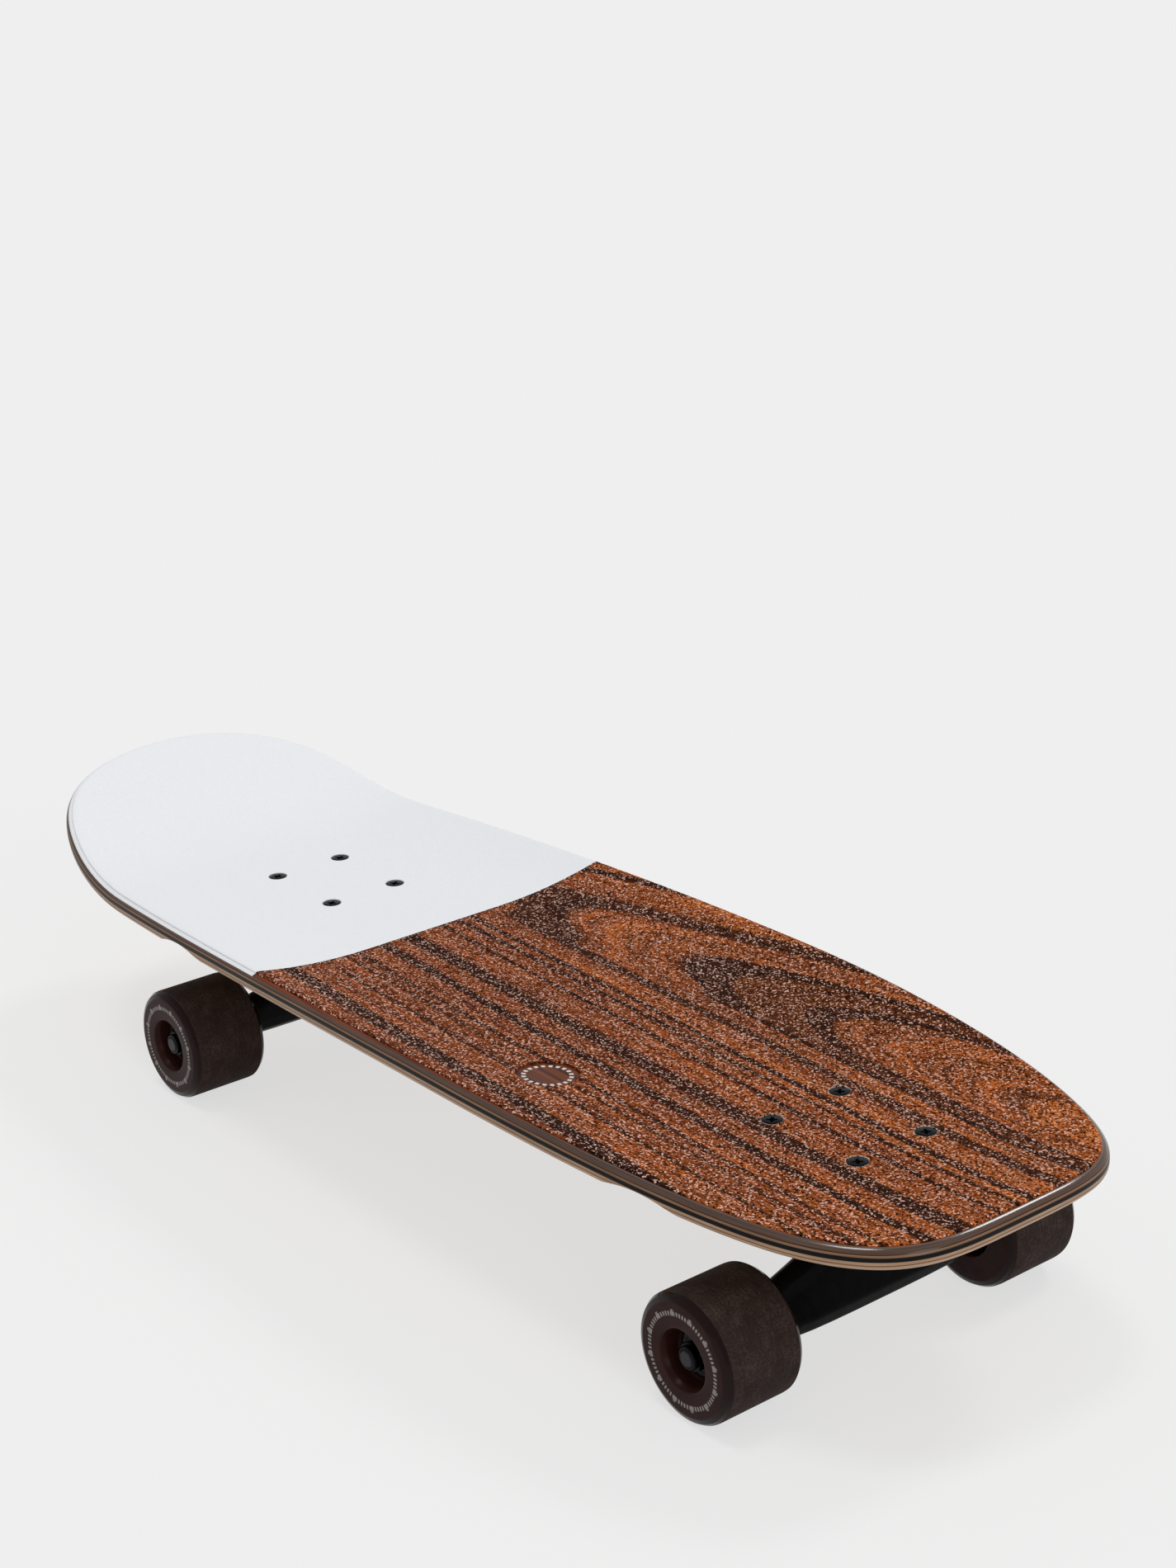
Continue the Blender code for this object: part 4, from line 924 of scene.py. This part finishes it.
def well_cuts():
    """A drum laid against the underside of each rail beside each wheel."""
    ends = (-WELL_HALF_LENGTH, WELL_HALF_LENGTH)
    drum = loops_mesh("drum", [circle(WELL_RADIUS, z, DRUM_SEGMENTS) for z in ends])
    outer = DECK_WIDTH / 2
    cuts = []
    for truck in TRUCKS.values():
        x = (truck @ (AXLE_CENTRE - Vector((WELL_BEHIND_AXLE, 0, 0)))).x
        for side in (1, -1):
            rise = mould(x, outer) + WELL_DEPTH - mould(x, outer - WELL_REACH)
            slope = math.atan2(rise, WELL_REACH)
            top = Vector((x, side * outer, DECK_BOTTOM_Z + mould(x, outer) + WELL_DEPTH))
            direction = Vector((0, side * math.cos(slope), math.sin(slope)))
            down = Vector((0, side * math.sin(slope), -math.cos(slope)))
            cuts.append((drum, along(direction, top + down * WELL_RADIUS)))
    return cuts


def quarter_turn(steps):
    """The sine and cosine at even steps from 0 to 90 degrees."""
    angles = (math.pi / 2 * step / steps for step in range(steps + 1))
    return [(math.sin(angle), math.cos(angle)) for angle in angles]


def build_deck(material):
    edge = [(TOP_EDGE_RADIUS * (1 - s), TOP_EDGE_RADIUS * (1 - c)) for s, c in quarter_turn(9)]
    for s, c in quarter_turn(5):
        edge.append((BOTTOM_EDGE_RADIUS * (1 - c), DECK_THICKNESS - BOTTOM_EDGE_RADIUS * (1 - s)))
    blank = pressed_sheet("laminated deck", edge, DECK_TOP_Z)
    profile = (
        (BOLT_HOLE_RADIUS, DECK_BOTTOM_Z - CUT_OVERSHOOT),
        (BOLT_HOLE_RADIUS, DECK_TOP_Z - COUNTERSINK_DEPTH),
        (BOLT_HOLE_RADIUS + COUNTERSINK_DEPTH + CUT_OVERSHOOT, DECK_TOP_Z + CUT_OVERSHOOT),
    )
    sink = loops_mesh("countersink", [circle(r, z) for r, z in profile])
    holes = [(sink, Matrix.Translation((x, y, 0))) for _, x, y in bolt_places()]
    mesh = cut(blank, holes + well_cuts())
    depth = mesh.attributes.new("depth", "FLOAT", "POINT")
    for index, vertex in enumerate(mesh.vertices):
        x, y, z = vertex.co
        depth.data[index].value = (DECK_TOP_Z + mould(x, y) - z) / upright_share(x, y)
    add_riding("deck", mesh, material)


def build_grip(material):
    edge = [(GRIP_MARGIN, 0.0)]
    for inset in GRIP_EDGE_INSETS:
        drop = TOP_EDGE_RADIUS - math.sqrt(TOP_EDGE_RADIUS**2 - (TOP_EDGE_RADIUS - inset) ** 2)
        edge.append((inset, drop + (GRIP_MARGIN - inset) * GRIP_EDGE_FALL))
    edge += [*GRIP_RIM, (GRIP_MARGIN, GRIP_THICKNESS)]
    sheet = pressed_sheet("grip sheet", edge, GRIP_TOP_Z)
    levels = (DECK_BOTTOM_Z, GRIP_TOP_Z + CUT_OVERSHOOT)
    hole = loops_mesh("bolt hole", [circle(GRIP_HOLE_RADIUS, z) for z in levels])
    window = loops_mesh("window", [circle(WINDOW_RADIUS, z, ROUND_SEGMENTS) for z in levels])
    cuts = [(hole, Matrix.Translation((x, y, 0))) for _, x, y in bolt_places()]
    cuts.append((window, Matrix.Translation((*WINDOW_PLACE, 0))))
    add_riding("grip_sheet", cut(sheet, cuts), material)


def bolt_mesh():
    """A countersunk bolt, head up, with a cross recess that narrows downwards."""
    shank = 0.0024
    end = -0.0286
    corners = [(0, 0, 0), (0.0045, 0, 0), (0.00475, -0.00015, 0), (shank, -0.0025, 0.0003)]
    corners += threaded(shank, -0.0120, end + 0.0002, pitch=0.0008, depth=0.00022)
    corners += [(0.0020, end, 0), (0, end, 0)]
    blank = turned("mounting bolt", corners, BOLT_SEGMENTS, ring=False)
    arm = ((0.0026, 0.00055, 0), (0.0009, 0.0009, 0), (0.00055, 0.0026, 0))
    turns = [Matrix.Rotation(math.pi / 2 * index, 3, "Z") for index in range(4)]
    cross = [turn @ Vector(corner) for turn in turns for corner in arm]
    levels = ((0.45, -0.0017), (1.0, 0.0), (1.25, 0.0008))
    loops = [[point * size + Vector((0, 0, z)) for point in cross] for size, z in levels]
    return cut(blank, [(loops_mesh("cross recess", loops), Matrix.Identity(4))])


def rounded_plate(name, length, width, corner, top, bottom=0.0, bevel=0.0001):
    """A level plate with round corners and softened edges."""
    soft = ((0, bevel), (bevel * 0.3, bevel * 0.3), (bevel, 0))
    levels = [(bottom + rise, inset) for rise, inset in soft]
    levels += [(top - rise, inset) for rise, inset in reversed(soft)]
    loops = []
    for height, inset in levels:
        loop = []
        for sign_x, sign_y, start in ((1, 1, 0), (-1, 1, 90), (-1, -1, 180), (1, -1, 270)):
            for step in range(9):
                angle = math.radians(start + 90 * step / 8)
                reach = corner - inset
                x = sign_x * (length / 2 - corner) + reach * math.cos(angle)
                y = sign_y * (width / 2 - corner) + reach * math.sin(angle)
                loop.append(Vector((x, y, height)))
        loops.append(loop)
    return loops_mesh(name, loops, angle=50)


def riser_mesh():
    below = -0.002
    above = 0.005
    plate = rounded_plate("riser pad", 0.082, 0.056, corner=0.007, top=RISER_THICKNESS, bevel=0.0004)
    opening = rounded_plate("opening", 0.030, 0.022, corner=0.006, top=above, bottom=below)
    drill = loops_mesh("drill", [circle(BOLT_HOLE_RADIUS, z, BOLT_SEGMENTS) for z in (below, above)])
    cuts = [(opening, Matrix.Translation((KINGPIN_ORIGIN.x, 0, 0)))]
    for x in (-BOLT_ALONG / 2, BOLT_ALONG / 2):
        for y in (-BOLT_ACROSS / 2, BOLT_ACROSS / 2):
            cuts.append((drill, Matrix.Translation((x, y, 0))))
    return cut(plate, cuts)


def wheel_mesh():
    """A turned wheel. Local +Z points outboard, and zero is the middle of the hub."""
    half = [
        (0.03000, 0.0170, 0.0),
        (0.02985, 0.0186, 0.0),
        (0.02970, 0.0188, 0.0),
        (0.02860, 0.0206, 0.0012),
        (0.02600, 0.0218, 0.0030),
        (0.02300, 0.0219, 0.0030),
        (0.01450, 0.0217, 0.0012),
        (0.01330, 0.0190, 0.0020),
        (0.01230, 0.0135, 0.0010),
        (0.01130, 0.0123, 0.0003),
        (0.01130, 0.0047, 0.0),
        (0.00830, 0.0047, 0.0003),
    ]
    return turned("wheel", mirrored(half), ROUND_SEGMENTS, steps=5, angle=30)


def bearing_mesh():
    half = [
        (0.01100, 0.0035, 0.0003),
        (0.00960, 0.0035, 0.0001),
        (0.00950, 0.0031, 0.0),
        (0.00900, 0.0032, 0.0002),
        (0.00700, 0.0032, 0.0002),
        (0.00650, 0.0030, 0.0),
    ]
    return turned("bearing", mirrored(half), MIDDLE_SEGMENTS, angle=30)


def stack_mesh():
    """Washers, inner rings and the spacer between them, along local +Z outwards."""
    half = [
        (0.0043, 0.0000, 0),
        (0.0060, 0.0000, 0.0002),
        (0.0060, 0.0007, 0.0002),
        (0.0056, 0.0008, 0),
        (0.0061, 0.0009, 0.0001),
        (0.0061, 0.0077, 0.0003),
        (0.0054, 0.0078, 0),
    ]
    return turned("bearing stack", mirrored(half, STACK_LENGTH), angle=30)


def axle_mesh():
    radius = 0.0040
    tip = 0.0034
    end = 0.10525
    thread_start = 0.0990
    thread_end = end - 0.0005
    corners = [(0, -end, 0), (tip, -end, 0)]
    corners += threaded(radius, -thread_end, -thread_start)
    corners += threaded(radius, thread_start, thread_end)
    corners += [(tip, end, 0), (0, end, 0)]
    return turned("axle", corners, ring=False, angle=30)


def kingpin_mesh():
    """Head first along local +Z from the plane of the plate's top."""
    radius = 0.00476
    head_top = 0.0030
    head_bottom = 0.0080
    end = 0.0634
    loops = [circle(LEAST_RADIUS, head_top), *hex_loops(0.0140, head_top, head_bottom)]
    loops.append(circle(radius, head_bottom))
    loops += [circle(r, z) for r, z, _ in threaded(radius, 0.0480, end - 0.0005)]
    loops += [circle(0.0042, end), circle(LEAST_RADIUS, end)]
    return loops_mesh("kingpin", loops, angle=32)


def cup_washer_mesh():
    corners = [
        (0.00506, 0.0000, 0.0),
        (0.01170, 0.0000, 0.0010),
        (0.01300, 0.0012, 0.0006),
        (0.01300, 0.0020, 0.0003),
        (0.01230, 0.0020, 0.0),
        (0.01220, 0.0015, 0.0003),
        (0.01160, 0.0012, 0.0006),
        (0.00506, 0.0012, 0.0),
    ]
    return turned("cup washer", corners, MIDDLE_SEGMENTS, angle=35)


def bushing_mesh(name, height, end_radius):
    """A slightly barrelled bushing with its widest end at local zero."""
    hole = 0.0059
    wide = 0.0118
    longest_step = 0.0012
    corners = [
        (hole, 0.0, 0.0),
        (wide - 0.0008, 0.0, 0.0006),
        (wide, 0.0012, 0.0008),
        ((wide + end_radius) / 2 + 0.0002, height * 0.55, 0.0020),
        (end_radius, height - 0.0012, 0.0008),
        (end_radius - 0.0010, height, 0.0006),
        (hole, height, 0.0),
    ]
    profile = rounded(corners, True, 5)
    fine = []
    for first, second in zip(profile, profile[1:] + profile[:1]):
        fine.append(first)
        parts = int((second - first).length / longest_step)
        fine += [first.lerp(second, (step + 1) / (parts + 1)) for step in range(parts)]
    return loops_mesh(name, [circle(r, z, MIDDLE_SEGMENTS) for r, z in fine], ring=True, angle=30)


def pivot_cup_mesh():
    corners = [
        (0.0, -0.0021, 0.0),
        (0.0085, -0.0021, 0.0006),
        (0.0085, 0.0090, 0.0003),
        (0.0067, 0.0090, 0.0002),
        (0.0055, 0.0052, 0.0004),
        (0.0048, 0.0024, 0.0004),
        (0.0029, 0.0004, 0.0004),
        (0.0, 0.0004, 0.0),
    ]
    return turned("pivot cup", corners, ring=False, angle=40)


def build_wheels(materials, meshes):
    for end, truck in TRUCKS.items():
        for side in (1, -1):
            outboard = Vector((0, side, 0))
            hub = truck @ (AXLE_CENTRE + outboard * HUB_CENTRE)
            world_side = "left" if hub.y > 0 else "right"
            for part, mesh, material, start in (
                ("wheel", "wheel", "urethane", HUB_CENTRE),
                ("outer_bearing", "bearing", "shield", HUB_CENTRE + BEARING_OFFSET),
                ("inner_bearing", "bearing", "shield", HUB_CENTRE - BEARING_OFFSET),
                ("spacer_stack", "stack", "steel", STACK_START),
                ("axle_nut", "axle nut", "black steel", AXLE_NUT_START),
            ):
                matrix = truck @ along(outboard, AXLE_CENTRE + outboard * start)
                node = f"{end}_{world_side}_{part}"
                add_riding(node, meshes[mesh].copy(), materials[material], matrix)


def build_trucks(materials, meshes):
    for end, truck in TRUCKS.items():

        def add(part, mesh, material, matrix):
            add_riding(f"{end}_{part}", meshes[mesh].copy(), materials[material], matrix)

        def on_kingpin(depth):
            return truck @ along(KINGPIN_DIRECTION, KINGPIN_ORIGIN + KINGPIN_DIRECTION * depth)

        add("riser_pad", "riser", "black pad", truck @ Matrix.Translation((0, 0, SEAT_GAP)))
        for part in ("hanger", "baseplate"):
            node = f"{end}_{part}"
            add_riding(node, as_cast(frame["nodes"][node].data), materials["cast"])
        add("pivot_cup", "pivot cup", "black pad", truck @ along(-STEER_DIRECTION, PIVOT_CENTRE))
        add("kingpin", "kingpin", "black steel", on_kingpin(0))
        add("board_washer", "washer", "black steel", on_kingpin(BOARD_WASHER_DEPTH))
        road_washer = on_kingpin(ROAD_WASHER_DEPTH + WASHER_HEIGHT) @ FLIP
        add("road_washer", "washer", "black steel", road_washer)
        add("kingpin_nut", "kingpin nut", "black steel", on_kingpin(KINGPIN_NUT_DEPTH))
        for part, start, height in (
            ("board_bushing", BOARD_BUSHING_DEPTH, BOARD_BUSHING_HEIGHT),
            ("road_bushing", ROAD_BUSHING_DEPTH, ROAD_BUSHING_HEIGHT),
        ):
            place = on_kingpin(start)
            piece = add_piece(f"{end}_{part}", meshes[part].copy(), materials["bushing"], place)
            ends = [place.translation, on_kingpin(start + height).translation]
            board_end, ring_end = ends if part == "board_bushing" else reversed(ends)
            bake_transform(piece)
        add("axle", "axle", "steel", truck @ along(Vector((0, 1, 0)), AXLE_CENTRE))


def build_bolts(materials, meshes):
    steel = materials["black steel"]
    for name, x, y in bolt_places():
        turn = Matrix.Rotation(x * CROSS_TURN_PER_METRE, 4, "Z")
        bolt = Matrix.Translation((x, y, GRIP_TOP_Z - BOLT_BELOW_GRIP)) @ turn
        nut = Matrix.Translation((x, y, PLATE_TOP_Z - PLATE_THICKNESS - SEAT_GAP)) @ FLIP
        add_riding(f"{name}_mounting_bolt", meshes["bolt"].copy(), steel, bolt)
        add_riding(f"{name}_mounting_nut", meshes["mounting nut"].copy(), steel, nut)


def make_materials():
    pad_greys = ((22, 22, 22), (33, 33, 33))
    bushing_greys = ((26, 24, 24), (36, 33, 33))
    pad = ("black pad", (700.0, 3.0), pad_greys, (0.52, 0.72), (0.0001, 0.5))
    bushing = ("black urethane", (300.0, 2.0), bushing_greys, (0.30, 0.42), (0.00008, 0.3))
    return {
        "cast": casting_material(),
        "black steel": steel_material("blackened steel", (8, 8, 9), (17, 17, 19)),
        "steel": steel_material("dark steel", (34, 34, 36), (54, 54, 57)),
        "shield": shield_material(),
        "black pad": moulded_material(*pad),
        "bushing": moulded_material(*bushing),
        "urethane": urethane_material(),
    }


def make_meshes():
    return {
        "bolt": bolt_mesh(),
        "mounting nut": lock_nut("mounting nut", 0.0095, 0.0050, hole=0.0028, collar=0.0016),
        "riser": riser_mesh(),
        "wheel": wheel_mesh(),
        "bearing": bearing_mesh(),
        "stack": stack_mesh(),
        "axle": axle_mesh(),
        "axle nut": lock_nut("axle nut", 0.0127, 0.0062, hole=0.0043, collar=0.0020),
        "kingpin": kingpin_mesh(),
        "kingpin nut": lock_nut("kingpin nut", 0.0143, 0.0075, hole=0.00506, collar=0.0024),
        "washer": cup_washer_mesh(),
        "board_bushing": bushing_mesh("board bushing", BOARD_BUSHING_HEIGHT, 0.0118),
        "road_bushing": bushing_mesh("road bushing", ROAD_BUSHING_HEIGHT, 0.0100),
        "pivot cup": pivot_cup_mesh(),
    }


def build_floor():
    """A wide pale floor. Its underside lets the camera through, so that the board shows from below."""
    mesh = bpy.data.meshes.new("floor")
    mesh.from_pydata(circle(FLOOR_RADIUS, 0.0), [], [range(SMALL_SEGMENTS)])
    g = Graph("pale floor")
    mesh.materials.append(g.finish(Base_Color=linear(FLOOR), Roughness=0.9, Specular_IOR_Level=0.0))
    paint = g.tree.nodes["Principled BSDF"].outputs[0]
    glow = g.add("Emission", {"Color": linear(BACKGROUND)}).outputs[0]
    clear = g.add("BsdfTransparent", {}).outputs[0]
    rays = g.add("LightPath", {}).outputs
    seen = g.maths("ADD", rays["Is Camera Ray"], rays["Is Glossy Ray"], clamp=True)
    lit = g.add("MixShader", {0: seen * FLOOR_GLOW_SHARE, 1: paint, 2: glow}).outputs[0]
    behind = g.add("NewGeometry", {}).outputs["Backfacing"]
    through = g.maths("MULTIPLY", behind, rays["Is Camera Ray"])
    g.show("Material", g.add("MixShader", {0: through, 1: lit, 2: clear}).outputs[0])
    placed("floor", mesh)


def build_world():
    g = Graph("studio", bpy.data.worlds)
    light = g.add("Background", {"Color": (1, 1, 1, 1), "Strength": WORLD_LEVEL}).outputs[0]
    seen = g.add("Background", {"Color": linear(BACKGROUND)}).outputs[0]
    camera_ray = g.add("LightPath", {}).outputs["Is Camera Ray"]
    g.show("World", g.add("MixShader", {0: camera_ray, 1: light, 2: seen}).outputs[0])
    bpy.context.scene.world = g.owner


def add_lamp(name, direction, energy, angle):
    """A far soft lamp that shines from a direction."""
    lamp = bpy.data.lights.new(name, "SUN")
    lamp.energy = energy
    lamp.angle = math.radians(angle)
    placed(name, lamp, along(Vector(direction), Vector()))


def build_camera():
    heading, pitch, roll = (math.radians(angle) for angle in CAMERA_TURN)
    level = Vector((math.sin(heading), -math.cos(heading), 0))
    ahead = Vector((math.cos(heading), math.sin(heading), 0))
    forward = math.cos(pitch) * ahead - math.sin(pitch) * Vector((0, 0, 1))
    upright = level.cross(forward)
    right = math.cos(roll) * level + math.sin(roll) * upright
    up = math.cos(roll) * upright - math.sin(roll) * level
    data = bpy.data.cameras.new("camera")
    data.sensor_width = SENSOR_WIDTH
    data.lens = SENSOR_WIDTH * FOCAL_PIXELS / PHOTO_HEIGHT
    turn = Matrix((right, up, -forward)).transposed().to_4x4()
    camera = placed("camera", data, Matrix.Translation(CAMERA_PLACE) @ turn)
    bpy.context.scene.camera = camera


materials = make_materials()
meshes = make_meshes()
build_deck(deck_material())
build_grip(grip_material())
build_trucks(materials, meshes)
build_bolts(materials, meshes)
build_wheels(materials, meshes)
build_floor()
build_world()
add_lamp("overhead", (-0.10, -0.12, 0.98), energy=0.66, angle=14)
add_lamp("behind", (0.00, 0.64, 0.77), energy=0.76, angle=14)
add_lamp("front", (0.95, -0.10, 0.38), energy=0.70, angle=30)
build_camera()
bpy.context.scene.view_settings.view_transform = "Standard"
